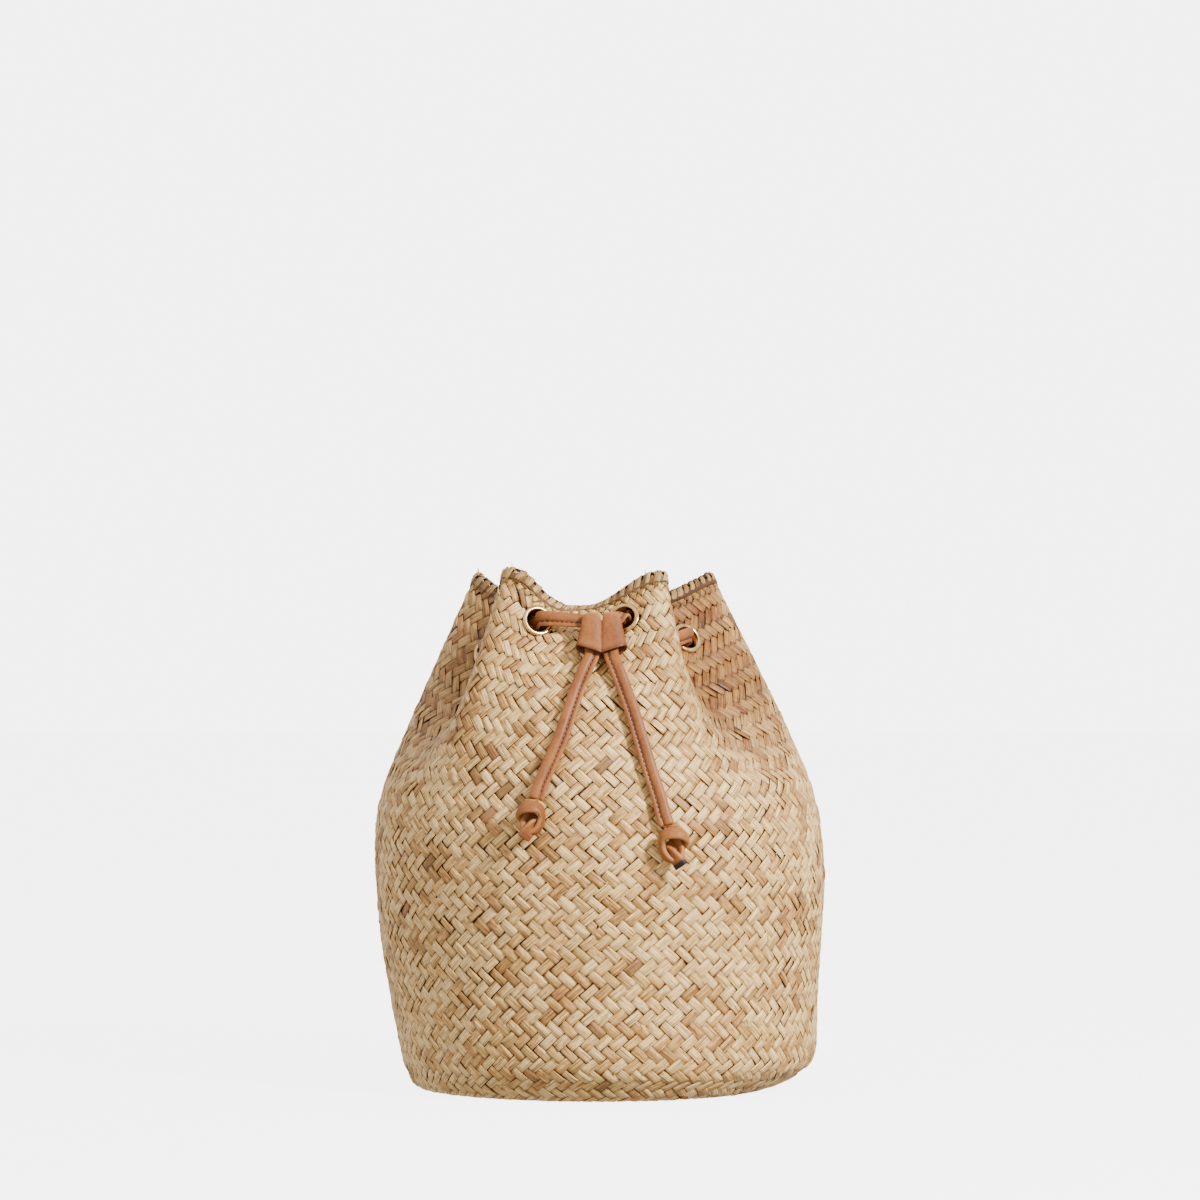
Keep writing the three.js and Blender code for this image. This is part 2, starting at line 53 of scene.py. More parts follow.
random = np.random.default_rng(7)
print("frame loaded with", len(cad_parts), "solids")

# %% [markdown]
# ## The camera
# The photograph is a catalogue view from the front, taken from far away with a long lens, level with the
# upper part of the bag. A camera needs no tilt for that: it only stands at the height of the picture's
# middle. It is made before the cords.

# %% Camera
CAMERA_HEIGHT = 0.311
CAMERA_DISTANCE = 3.3
SENSOR = 36.0
LENS = 154.7

# %% [markdown]
# ## The shape of the straw
# The bag's wall is one smooth surface with two coordinates. Turn is the angle from straight ahead to the
# right. Level is 0 at the edge of the base, 1 at the shoulder where the folds begin, and 2 at the rim.
# The body is a table of sections, and the mouth is a belt that runs round twelve bends, six outwards and
# six inwards. Working in arrays lets one call place thousands of strand points.

# %% Sections of the body and bends of the mouth
BAG_HEIGHT = 0.331
BELLY_WIDTH = 0.2876
SHOULDER_HEIGHT = 0.192
WALL = 0.0026
SHOULDER_RISE = 0.13
HALF_BELLY = BELLY_WIDTH / 2

# Height is a share of the shoulder height, the others are shares of half the belly width.
SECTIONS = {
    "height": (0, 0.02, 0.052, 0.088, 0.156, 0.286, 0.49, 0.71, 0.885, 1),
    "left": (0.8, 0.838, 0.856, 0.877, 0.897, 0.93, 0.974, 1, 0.998, 0.965),
    "right": (0.735, 0.819, 0.89, 0.944, 0.966, 0.968, 0.986, 1, 0.979, 0.943),
    "deep": (0.755, 0.8, 0.84, 0.885, 0.92, 0.945, 0.975, 1, 0.988, 0.962),
}
# Each bend: turn of its fold, centre x and y, signed radius, rim height, fall, lift and draw of the fold.
BENDS = {
    "turn": (-8, 27, 54, 95, 121, 150, 178, 206, 236, 261, 290, 318),
    "x": (-0.066, 0.232, 0.32, 0.43, 0.33, 0.22, -0.055, -0.36, -0.42, -0.487, -0.43, -0.355),
    "y": (-0.577, -0.577, -0.2, 0.13, 0.27, 0.58, 0.56, 0.58, 0.27, 0.12, -0.2, -0.588),
    "round": (-0.104, 0.056, -0.07, 0.07, -0.07, 0.063, -0.104, 0.063, -0.07, 0.07, -0.07, 0.063),
    "height": (0.93, 0.993, 0.95, 0.993, 0.94, 0.97, 0.925, 0.975, 0.94, 0.992, 0.945, 1),
    "fall": (1, 0.9, 1, 0.9, 0.9, 0.9, 0.9, 0.9, 0.9, 1, 0.85, 0.78),
    "lift": (0.8, 0.5, 0.5, 0.5, 0.5, 0.5, 0.75, 0.5, 0.5, 0.5, 0.5, 0.5),
    "draw": (0.35, 0.6, 0.86, 0.46, 0.7, 0.46, 0.42, 0.46, 0.7, 0.46, 0.84, 0.46),
}
SECTIONS = {name: np.array(column, float) for name, column in SECTIONS.items()}
BENDS = {name: np.array(column, float) for name, column in BENDS.items()}
BEND_COUNT = len(BENDS["turn"])
BODY_ROWS = len(SECTIONS["height"]) - 1


def hermite(low, low_slope, high, high_slope, share):
    """A smooth curve between two values with given slopes."""
    square = share * share
    cube = square * share
    return (
        (2 * cube - 3 * square + 1) * low
        + (cube - 2 * square + share) * low_slope
        + (3 * square - 2 * cube) * high
        + (cube - square) * high_slope
    )


def smooth_step(share):
    """A soft step from zero to one."""
    share = np.clip(share, 0, 1)
    return share * share * (3 - 2 * share)


def unit(vectors):
    """Vectors of length one, along the last axis."""
    return vectors / np.maximum(np.linalg.norm(vectors, axis=-1, keepdims=True), 1e-12)


def through_rows(column, place):
    """The value of a section column at a place between its rows."""
    last = len(column) - 1
    row = np.clip(np.floor(place).astype(int), 0, last - 1)
    before = (column[row + 1] - column[np.maximum(row - 1, 0)]) / np.where(row == 0, 1, 2)
    after = (column[np.minimum(row + 2, last)] - column[row]) / np.where(row + 1 == last, 1, 2)
    return hermite(column[row], before, column[row + 1], after, place - row)


def body_point(turn, place):
    """A point of the body: place counts the rows of the section table."""
    side = np.where(
        np.sin(turn) < 0,
        through_rows(SECTIONS["left"], place),
        through_rows(SECTIONS["right"], place),
    )
    return np.stack(
        [
            HALF_BELLY * side * np.sin(turn),
            -HALF_BELLY * through_rows(SECTIONS["deep"], place) * np.cos(turn),
            SHOULDER_HEIGHT * through_rows(SECTIONS["height"], place),
        ],
        axis=-1,
    )


# %% The belt round the bends
def on_bend(bend, heading):
    """The point of a bend where the mouth's edge has this heading, seen from above."""
    radius = BENDS["round"][bend] * HALF_BELLY
    x = BENDS["x"][bend] * HALF_BELLY + radius * np.sin(heading)
    y = BENDS["y"][bend] * HALF_BELLY - radius * np.cos(heading)
    return np.stack([x, y], axis=-1)


def belt():
    """Where each arc and each straight flank of the mouth starts, and how it runs."""
    after = (np.arange(BEND_COUNT) + 1) % BEND_COUNT
    step_x = (BENDS["x"][after] - BENDS["x"]) * HALF_BELLY
    step_y = (BENDS["y"][after] - BENDS["y"]) * HALF_BELLY
    widen = (BENDS["round"][after] - BENDS["round"]) * HALF_BELLY
    heading = np.arctan2(step_y, step_x) - np.arcsin(widen / np.hypot(step_x, step_y))
    came = np.roll(heading, 1)
    swing = np.arctan2(np.sin(heading - came), np.cos(heading - came))
    arc = np.abs(swing * BENDS["round"] * HALF_BELLY)
    bends = np.arange(BEND_COUNT)
    begin, end = on_bend(bends, heading), on_bend(after, heading)
    flank = np.linalg.norm(end - begin, axis=-1)
    starts = np.concatenate([[0], np.cumsum(arc + flank)])
    return {
        "came": came,
        "swing": swing,
        "arc": arc,
        "flank": flank,
        "begin": begin,
        "end": end,
        "starts": starts[:-1],
        "middles": starts[:-1] + arc / 2,
        "length": starts[-1],
    }


mouth = belt()
print("the mouth's edge measures", round(mouth["length"] * 1000), "mm round")


def mouth_run(turn):
    """How far along the mouth's edge the straw of a turn lies, with its bend and its share of the way."""
    first = BENDS["turn"][0]
    degrees = np.mod(np.degrees(turn) - first, 360)
    opened = np.concatenate([BENDS["turn"][-1:] - 360, BENDS["turn"], BENDS["turn"][:2] + 360]) - first
    whole = mouth["length"]
    runs = np.concatenate([mouth["middles"][-1:] - whole, mouth["middles"], mouth["middles"][:2] + whole])
    slopes = (runs[2:] - runs[:-2]) / (opened[2:] - opened[:-2])
    bend = np.clip(np.searchsorted(opened[1:-1], degrees, side="right") - 1, 0, BEND_COUNT - 1)
    gap = opened[bend + 2] - opened[bend + 1]
    share = (degrees - opened[bend + 1]) / gap
    low, high = runs[bend + 1], runs[bend + 2]
    place = hermite(low, slopes[bend] * gap, high, slopes[bend + 1] * gap, share)
    return place, bend, (place - low) / (high - low)


def rim_point(turn):
    """A point of the rim for a turn, with the lift and draw of the straw below it."""
    place, bend, along = mouth_run(turn)
    run = np.mod(place, mouth["length"])
    piece = np.searchsorted(mouth["starts"], run, side="right") - 1
    past = run - mouth["starts"][piece]
    on_arc = past < mouth["arc"][piece]
    swung = mouth["came"][piece] + mouth["swing"][piece] * np.clip(past / mouth["arc"][piece], 0, 1)
    share = np.clip((past - mouth["arc"][piece]) / mouth["flank"][piece], 0, 1)[..., None]
    straight = mouth["begin"][piece] * (1 - share) + mouth["end"][piece] * share
    plan = np.where(on_arc[..., None], on_bend(piece, swung), straight)
    following = (bend + 1) % BEND_COUNT
    fall = BENDS["fall"][bend]
    change = np.where(
        BENDS["round"][bend] > 0,
        smooth_step(along / fall),
        smooth_step((along - 1 + fall) / fall),
    )

    def between(name):
        """A value of the bends at each turn, changing softly from one bend to the next."""
        return BENDS[name][bend] * (1 - change) + BENDS[name][following] * change

    point = np.concatenate([plan, (between("height") * BAG_HEIGHT)[..., None]], axis=-1)
    return point, between("lift"), between("draw")


def straw_point(turn, level):
    """A point of the straw's outer face. Below level 0 the straw runs in under the base."""
    turn, level = np.broadcast_arrays(np.asarray(turn, float), np.asarray(level, float))
    low = body_point(turn, np.clip(level, 0, 1) * BODY_ROWS)
    low[..., :2] *= (1 + np.minimum(level, 0))[..., None]
    foot = body_point(turn, np.full_like(turn, BODY_ROWS))
    slope = foot - body_point(turn, np.full_like(turn, BODY_ROWS - 0.25))
    rim, lift, draw = rim_point(turn)
    rise = (rim[..., 2] - foot[..., 2]) * SHOULDER_RISE
    start = foot + slope * (rise / slope[..., 2])[..., None]
    handle = foot + (rim - foot) * draw[..., None]
    handle[..., 2] = foot[..., 2] + (rim[..., 2] - foot[..., 2]) * lift
    t = np.clip(level - 1, 0, 1)[..., None]
    s = 1 - t
    fold = s**3 * foot + 3 * s * s * t * start + 3 * s * t * t * handle + t**3 * rim
    return np.where(level[..., None] <= 1, low, fold)


def straw_normal(turn, level):
    """The outward direction of the straw at a place."""
    step = 0.01
    high = np.minimum(level + step, 2)
    across = straw_point(turn + step, level) - straw_point(turn - step, level)
    up = straw_point(turn, high) - straw_point(turn, high - 2 * step)
    return unit(np.cross(across, up))


# %% [markdown]
# ## Where the eyelets sit
# Two eyelets stand beside each valley of the mouth. Their places come from the same reach and drop as
# the solids'. The solids also tell where the bag's own axis stands in the frame, so the first eyelet's
# box gives the shift for everything that is worked out here.

# %% Eyelet places and the shift into the frame
# Each row: the valley's bend, how far the eyelets stand before and after its middle, and how far below
# the rim, as shares of the bag height.
VALLEY_EYELETS = (
    (0, 0.078, 0.078, 0.055),
    (2, 0.062, 0.042, 0.077),
    (4, 0.06, 0.06, 0.09),
    (6, 0.078, 0.078, 0.07),
    (8, 0.06, 0.06, 0.09),
    (10, 0.036, 0.07, 0.09),
)


def turn_at(run):
    """The turn whose straw meets the mouth's edge at a run."""
    turns = np.radians(BENDS["turn"][0]) + np.linspace(-math.pi, 2 * math.pi, 6001)
    places, _, _ = mouth_run(turns)
    laps = np.floor((turns - np.radians(BENDS["turn"][0])) / (2 * math.pi) + 1e-9)
    return np.interp(run, places + mouth["length"] * laps, turns)


def eyelet_places():
    """The middle and the outward axis of each eyelet."""
    places = []
    for bend, before, after, drop in VALLEY_EYELETS:
        for reach in (-before, after):
            turn = np.array(turn_at(mouth["middles"][bend] + reach * BAG_HEIGHT))
            length = np.linalg.norm(straw_point(turn, 2) - straw_point(turn, 1))
            level = np.array(2 - drop * BAG_HEIGHT / length)
            axis = straw_normal(turn, level)
            places.append((straw_point(turn, level) - axis * WALL / 2, axis))
    return places


eyelets = eyelet_places()
box_middles = [sum(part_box(f"eyelet_{k + 1}"), Vector()) / 2 for k in range(len(eyelets))]
SHIFT = np.array(box_middles[0]) - eyelets[0][0]
eyelets = [(middle + SHIFT, axis) for middle, axis in eyelets]
worst = max(np.linalg.norm(np.array(box) - place[0]) for box, place in zip(box_middles, eyelets))
print("shift", np.round(SHIFT * 1000, 2), "mm; eyelets agree within", round(worst * 1000, 3), "mm")


def add_object(name, data):
    """A new object in the scene."""
    made = bpy.data.objects.new(name, data)
    bpy.context.scene.collection.objects.link(made)
    return made


camera = add_object("camera", bpy.data.cameras.new("camera"))
camera.data.sensor_width = SENSOR
camera.data.lens = LENS
camera.location = (SHIFT[0], SHIFT[1] - CAMERA_DISTANCE, CAMERA_HEIGHT)
camera.rotation_euler = (math.radians(90), 0, 0)
bpy.context.scene.camera = camera

# %% [markdown]
# ## Rows of the plait
# The bag is plaited on the bias: one family of strands climbs to the right, the other to the left, and
# each passes over two and under two. Counted in rows, the plait is even: a row is as high everywhere, so
# the rows follow the length of the straw from the base to the rim and not its height above the ground.
# A small table of levels by turn and row gives any crossing its place.

# %% Levels by turn and row
STRANDS = 96
BODY_FLOATS = 26.0
FOLD_FLOATS = 17.0
BASE_FLOATS = 2.0
TOP_ROW = BODY_FLOATS + FOLD_FLOATS
LEVEL_PER_BASE_ROW = 0.075
GRID_TURNS = 720
GRID_LEVELS = 60


def level_table():
    """Levels for each turn of a fine grid at each half row, from the base's edge to the rim."""
    turns = np.linspace(0, 2 * math.pi, GRID_TURNS, endpoint=False)
    rows = np.arange(0, TOP_ROW + 0.25, 0.5)
    table = np.empty((GRID_TURNS, len(rows)))
    for low, floats, first in ((0.0, BODY_FLOATS, 0.0), (1.0, FOLD_FLOATS, BODY_FLOATS)):
        levels = low + np.linspace(0, 1, GRID_LEVELS + 1)
        path = straw_point(turns[:, None], levels[None, :])
        lengths = np.linalg.norm(np.diff(path, axis=1), axis=-1)
        run = np.concatenate([np.zeros((GRID_TURNS, 1)), np.cumsum(lengths, axis=1)], axis=1)
        row_at_level = first + floats * run / run[:, -1:]
        inside = (rows >= first) & (rows <= first + floats)
        for k in range(GRID_TURNS):
            table[k, inside] = np.interp(rows[inside], row_at_level[k], levels)
    return table


levels_by_row = level_table()
print("level table", levels_by_row.shape)


def plait_point(turn, row):
    """The outer face at a turn and a row. Rows below 0 run in under the base."""
    fine_turn = np.mod(turn / (2 * math.pi) * GRID_TURNS, GRID_TURNS)
    k = np.floor(fine_turn).astype(int) % GRID_TURNS
    turn_share = fine_turn - np.floor(fine_turn)
    fine_row = np.clip(row, 0, TOP_ROW) * 2
    r = np.minimum(np.floor(fine_row).astype(int), levels_by_row.shape[1] - 2)
    row_share = fine_row - r
    next_k = (k + 1) % GRID_TURNS
    here = (1 - row_share) * levels_by_row[k, r] + row_share * levels_by_row[k, r + 1]
    beside = (1 - row_share) * levels_by_row[next_k, r] + row_share * levels_by_row[next_k, r + 1]
    under = np.minimum(row, 0) * LEVEL_PER_BASE_ROW
    return straw_point(turn, (1 - turn_share) * here + turn_share * beside + under) + SHIFT


# %% [markdown]
# ## One mesh from many rings
# A strand is a chain of small rings, each the cross-section of a flat straw. Thousands of them are put
# into one mesh by array: the points are laid out ring by ring, and the faces join each ring to the next.
# A closed cap ends each strand. Modelling one strand by hand and copying it would not do here, because
# every strand takes its own way over the folds.

# %% Sweeping rings into a mesh
def swept_mesh(name, tubes, flats=None, values=None):
    """A mesh of closed tubes. A tube has the shape (rings, points, 3), its flats (rings, points, 2)."""
    faces, sizes, first = [], [], 0
    for tube in tubes:
        steps, points, _ = tube.shape
        index = first + np.arange(steps * points).reshape(steps, points)
        ahead = np.roll(index, -1, axis=1)
        quads = np.stack([index[:-1], ahead[:-1], ahead[1:], index[1:]], axis=-1)
        faces += [quads.ravel(), index[0, ::-1], index[-1]]
        sizes += [np.full((steps - 1) * points, 4), [points, points]]
        first += steps * points
    loops, sizes = np.concatenate(faces), np.concatenate(sizes)
    mesh = bpy.data.meshes.new(name)
    mesh.vertices.add(first)
    mesh.vertices.foreach_set("co", np.concatenate([t.reshape(-1) for t in tubes]).astype(np.float32))
    mesh.loops.add(len(loops))
    mesh.loops.foreach_set("vertex_index", loops.astype(np.int32))
    mesh.polygons.add(len(sizes))
    mesh.polygons.foreach_set("loop_start", (np.cumsum(sizes) - sizes).astype(np.int32))
    mesh.update(calc_edges=True)
    if flats is not None:
        corners = np.concatenate([f.reshape(-1, 2) for f in flats])[loops]
        mesh.uv_layers.new(name="UVMap").data.foreach_set("uv", corners.astype(np.float32).ravel())
    for key, each_tube in (values or {}).items():
        by_ring = [value[:, None] if value.ndim == 1 else value for value in each_tube]
        spread = [np.broadcast_to(value, tube.shape[:2]) for value, tube in zip(by_ring, tubes)]
        attribute = mesh.attributes.new(key, "FLOAT", "POINT")
        attribute.data.foreach_set("value", np.concatenate([x.ravel() for x in spread]).astype(np.float32))
    mesh.validate()
    mesh.shade_smooth()
    return add_object(name, mesh)


def run_along(middle):
    """The length from the start of a path to each of its points."""
    steps = np.linalg.norm(np.diff(middle, axis=-2), axis=-1)
    return np.concatenate([np.zeros((*steps.shape[:-1], 1)), np.cumsum(steps, axis=-1)], axis=-1)


# %% [markdown]
# ## The strands
# Each strand lies on top for two crossings and below for two. Its samples crowd where it dips, because
# there a straight line would cut the corner. Real straw is uneven, so every strand has its own width and
# tone, and every float, the stretch between two dips, sits a little askew. All of it comes from one seeded
# generator, so the bag is the same each time.

# %% Strand sections and samples
STRAW_HALF_THICKNESS = 0.42 * MM
LAYER = 0.62 * MM
DEPTH = 1.25 * MM
COVER = 0.495
HOLE_RADIUS = 9.95 * MM  # the strands end here, under an eyelet's flange
HOLE_DEPTH = 5 * MM
SHORTEST_PIECE = 0.4  # in samples: what is left of a strand beside a hole, if shorter, is dropped
# How far the straws differ: shares of a width or height, a shift aside, and a tilt in radians.
UNEVEN = {
    "strand_width": 0.05,
    "float_width": 0.06,
    "float_height": 0.1,
    "float_aside": 0.16 * MM,
    "float_tilt": 0.11,
    "float_tone": 0.2,
}
# Painted shade in the valleys' flanks, browner and warmer, as shade with warm bounced light.
# Each row: turn and half width in degrees, and strength.
SHADED_FLANKS = ((64, 27, 1.3), (288, 25, 0.88), (180, 60, 0.3))
SHELTER_START = BODY_FLOATS - 3
SHELTER_ROWS = 13
DIP_PLACES = np.array([-0.4, 0.05, 0.95, 1.4, 1.6, 2.05, 2.95, 3.4])
DIP_HEIGHTS = np.array([0.7, 1.0, 1.0, 0.7, -0.7, -1.0, -1.0, -0.7])
# The flat straw seen end on: across as a share of half its width, and up as a share of half its thickness.
STRAW_SECTION = np.array(
    [(-1, 0), (-0.92, 0.8), (0, 1), (0.92, 0.8), (1, 0), (0.88, -0.85), (0, -1), (-0.88, -0.85)]
)


def strand_samples(low, high):
    """Places along a strand, in crossings, and how far on top it lies there."""
    repeats = np.arange(math.floor(low / 4) - 1, math.ceil(high / 4) + 1)
    places = (repeats[:, None] * 4 + DIP_PLACES[None, :]).ravel()
    heights = np.tile(DIP_HEIGHTS, len(repeats))
    inside = (places > low + 0.1) & (places < high - 0.1)
    kept = np.concatenate([[low], places[inside], [high]])
    return kept, np.interp(kept, places, heights)


def ribbon_rings(middle, along, out, half_width, half_thickness, tilt=0.0, section=STRAW_SECTION):
    """Rings of a section along middles. Half widths and half thicknesses have a value for each ring."""
    side = unit(np.cross(along, out))
    tilt = np.asarray(tilt)[..., None]
    leaned_side = unit(side + out * tilt)
    leaned_out = unit(out - side * tilt)
    across = section[:, 0] * np.asarray(half_width)[..., None]
    up = section[:, 1] * np.asarray(half_thickness)[..., None]
    rings = middle[..., None, :] + leaned_side[..., None, :] * across[..., None]
    return rings + leaned_out[..., None, :] * up[..., None]


def flat_places(run, half_width, section=STRAW_SECTION):
    """The section laid flat, in metres: across and along, for the finish to read."""
    across = section[:, 0] * np.asarray(half_width)[..., None]
    return np.stack([across, np.broadcast_to(run[..., None], across.shape)], axis=-1)


def for_each_float(places, size):
    """A random value for each float of each strand, spread over its samples."""
    number = np.floor((places + 0.5) / 2).astype(int)
    number -= number.min()
    return random.normal(0, size, (STRANDS, number.max() + 1))[:, number]


def clear_of_eyelets(middle):
    """How far each point lies outside the nearest eyelet's hole. It is below 0 in the hole."""
    nearest = np.full(middle.shape[:-1], 1.0)
    for centre, axis in eyelets:
        away = middle - centre
        depth = away @ axis
        radial = np.linalg.norm(away - depth[..., None] * axis, axis=-1)
        nearest = np.minimum(nearest, np.maximum(radial - HOLE_RADIUS, np.abs(depth) - HOLE_DEPTH))
    return nearest


def cut_at_eyelets(middle, columns):
    """Splits each strand where it meets an eyelet's hole. Columns are arrays of rows, one row a sample."""
    clear = clear_of_eyelets(middle)
    cut = [[] for _ in columns]
    for strand, gap in enumerate(clear):
        last = len(gap) - 1
        change = np.nonzero((gap[:-1] < 0) != (gap[1:] < 0))[0]
        edges = [k + gap[k] / (gap[k] - gap[k + 1]) for k in change]
        if gap[0] >= 0:
            edges.insert(0, 0.0)
        if gap[last] >= 0:
            edges.append(float(last))
        for start, end in zip(edges[::2], edges[1::2]):
            if end - start < SHORTEST_PIECE:
                continue
            inner = np.arange(math.floor(start) + 1, math.ceil(end))
            places = np.concatenate([[start], inner, [end]])
            low = np.minimum(np.floor(places).astype(int), last - 1)
            share = places - low
            for kept, column in zip(cut, columns):
                rows = column[strand]
                weight = share.reshape(-1, *[1] * (rows.ndim - 1))
                kept.append(rows[low] * (1 - weight) + rows[low + 1] * weight)
    return cut


def strand_family(names, sign):
    """One family of strands in two pieces. It climbs to the right with sign 1, and to the left with -1."""
    places, heights = strand_samples(-2 * BASE_FLOATS, 2 * TOP_ROW - 0.7)
    own = np.arange(STRANDS)[:, None]

    def at(aside, ahead):
        """The outer face at each sample, a share of a strand aside and some crossings ahead."""
        row = np.broadcast_to((places + ahead) / 2, (STRANDS, len(places)))
        return plait_point(2 * math.pi * (own + aside + sign * row) / STRANDS, row)

    along = unit(at(0, 0.3) - at(0, -0.3))
    beside = at(0.5, 0) - at(-0.5, 0)
    out = unit(np.cross(beside, along))
    spacing = np.linalg.norm(np.cross(beside, along), axis=-1)
    side = np.cross(along, out)
    by_strand = random.normal(0, UNEVEN["strand_width"], (STRANDS, 1))
    width = spacing * COVER * (1 + by_strand + for_each_float(places, UNEVEN["float_width"]))
    height = LAYER * heights * sign * (1 + for_each_float(places, UNEVEN["float_height"])) - DEPTH
    wobble = for_each_float(places, UNEVEN["float_aside"])
    middle = at(0, 0) + out * height[..., None] + side * wobble[..., None]
    thickness = np.broadcast_to(STRAW_HALF_THICKNESS, width.shape)
    tilt = for_each_float(places, UNEVEN["float_tilt"])
    rings = ribbon_rings(middle, along, out, width, thickness, tilt)
    rings[..., 2] = np.maximum(rings[..., 2], 0)
    run = run_along(middle) + random.uniform(0, 3, (STRANDS, 1))
    flats = flat_places(run, width)
    row = np.broadcast_to(places / 2, width.shape)
    turn = 2 * math.pi * (own + sign * row) / STRANDS
    strand_tone = np.broadcast_to(random.uniform(0, 1, (STRANDS, 1)), width.shape)
    spread = 0.8 + 0.35 * smooth_step(row / TOP_ROW)
    values = {
        "strand_tone": strand_tone,
        "float_tone": np.clip(0.5 + for_each_float(places, UNEVEN["float_tone"]) * spread, 0, 1),
        # shade: painted shade, browner in the valleys' flanks
        "shade": valley_shade(turn, row),
        # dip: the finish paints shade where a strand dips under another
        "dip": np.broadcast_to(np.clip(heights * sign, -1, 1), width.shape),
    }
    half = STRANDS // 2
    made = []
    for name, part in zip(names, (slice(0, half), slice(half, STRANDS))):
        columns = [rings[part], flats[part], *[value[part] for value in values.values()]]
        tubes, laid, *rest = cut_at_eyelets(middle[part], columns)
        made.append(swept_mesh(name, tubes, laid, dict(zip(values, rest))))
    return made


def valley_shade(turn, row):
    """How much painted shade a place gets in the sheltered flank of a valley: browner, as shade with warm
    bounced light.
    """
    degrees = np.mod(np.degrees(turn), 360)
    flanks = [
        strength * np.exp(-(((degrees - at) / half) ** 2))
        for at, half, strength in SHADED_FLANKS
    ]
    return np.clip(sum(flanks), 0, 1) * smooth_step((row - SHELTER_START) / SHELTER_ROWS)


straw_pieces = strand_family(("straw_right_1", "straw_right_2"), 1)
straw_pieces += strand_family(("straw_left_1", "straw_left_2"), -1)
for piece in straw_pieces:
    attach(piece, "root")
    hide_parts("straw_body")
print("strands:", sum(len(piece.data.polygons) for piece in straw_pieces), "faces")

# %% [markdown]
# ## The base
# Under the bag the plait is a flat round mat. Its strands lie straight, over two and under two as on the
# sides, and each ends a little over the ring of side strands that turn in under the bag.

# %% Base mat
MAT_RADIUS = 0.0965
MAT_PITCH = 6.2 * MM
MAT_LEFT = 4 * MM  # how far left of the bag's axis the ring of turned-in strands has its middle
# A little of the valleys' painted shade over the whole mat.
BASE_PAINTED_SHADE = 0.2


def base_mat():
    """Two crossed families of straight strands inside a circle."""
    centre = np.array([SHIFT[0] - MAT_LEFT, SHIFT[1], 0])
    count = int(MAT_RADIUS / MAT_PITCH)
    tubes, flats, tones, floats, dips = [], [], [], [], []
    for sign, along, aside in ((1, (1, 0, 0), (0, 1, 0)), (-1, (0, 1, 0), (1, 0, 0))):
        along, aside = np.array(along, float), np.array(aside, float)
        for k in range(-count, count + 1):
            reach = math.sqrt(MAT_RADIUS**2 - (k * MAT_PITCH) ** 2) / MAT_PITCH
            if reach < 1:
                continue
            places, heights = strand_samples(-reach - sign * k, reach - sign * k)
            line = (places + sign * k) * MAT_PITCH
            middle = centre + along * line[:, None] + aside * (k * MAT_PITCH)
            middle[:, 2] = DEPTH - heights * sign * LAYER
            width = np.full(len(places), MAT_PITCH * COVER * (1 + random.normal(0, 0.04)))
            down = np.broadcast_to(np.array([0.0, 0, -1]), middle.shape)
            ahead = np.broadcast_to(along, middle.shape)
            thickness = np.full(len(places), STRAW_HALF_THICKNESS)
            tubes.append(ribbon_rings(middle, ahead, down, width, thickness))
            flats.append(flat_places(run_along(middle) + random.uniform(0, 3), width))
            tones.append(np.full(len(places), random.uniform(0, 1)))
            floats.append(np.clip(0.5 + random.normal(0, UNEVEN["float_tone"], len(places)), 0, 1))
            dips.append(heights * sign)
    shade = [np.full(len(tone), BASE_PAINTED_SHADE) for tone in tones]
    values = {"strand_tone": tones, "float_tone": floats, "dip": dips, "shade": shade}
    return swept_mesh("straw_base", tubes, flats, values)


base = base_mat()
print("base mat:", len(base.data.polygons), "faces")

# %% [markdown]
# ## The rim
# At the mouth the strands are folded over and bound down, so the edge is a row of short slanted loops
# over a flat binding strand on each face. The dark notches between the loops are painted shade: a dark
# strip inside the fold shows through the gaps. One loop is a path of seven places up the outside, over
# the edge and down the inside, worked out for all turns at once.

# %% Rim loops and binding
LOOP_COUNT = 96
LOOP_SHARE = 0.32  # half a loop's width as a share of the room between two loops
LOOP_HALF_THICKNESS = 0.32 * MM
BINDING_ROW = 0.55
BINDING_HALF_WIDTH = 2.3 * MM
BINDING_HALF_THICKNESS = 0.3 * MM
CORE_HALF = 1.05 * MM
CORE_DEPTH = 1.3 * MM
CORE_BELOW_RIM = 0.5 * MM
# Each row: rows below the rim, height off the outer face, rise above the rim, slant in loop spacings.
LOOP_PATH = np.array(
    [
        (1.0, -0.2, 0.0, -0.62),
        (0.62, 0.4, 0.0, -0.4),
        (0.18, 0.55, 0.0, -0.15),
        (0.0, -1.3, 0.85, 0.0),
        (0.18, -3.15, 0.0, 0.15),
        (0.62, -3.0, 0.0, 0.4),
        (1.0, -2.4, 0.0, 0.62),
    ]
)


def rim_frame(turn, row):
    """A place near the rim with its outward and upward directions."""
    here = plait_point(turn, row)
    up = unit(here - plait_point(turn, row - 0.25))
    beside = unit(plait_point(turn + 0.004, row) - plait_point(turn - 0.004, row))
    return here, unit(np.cross(beside, up)), up, beside


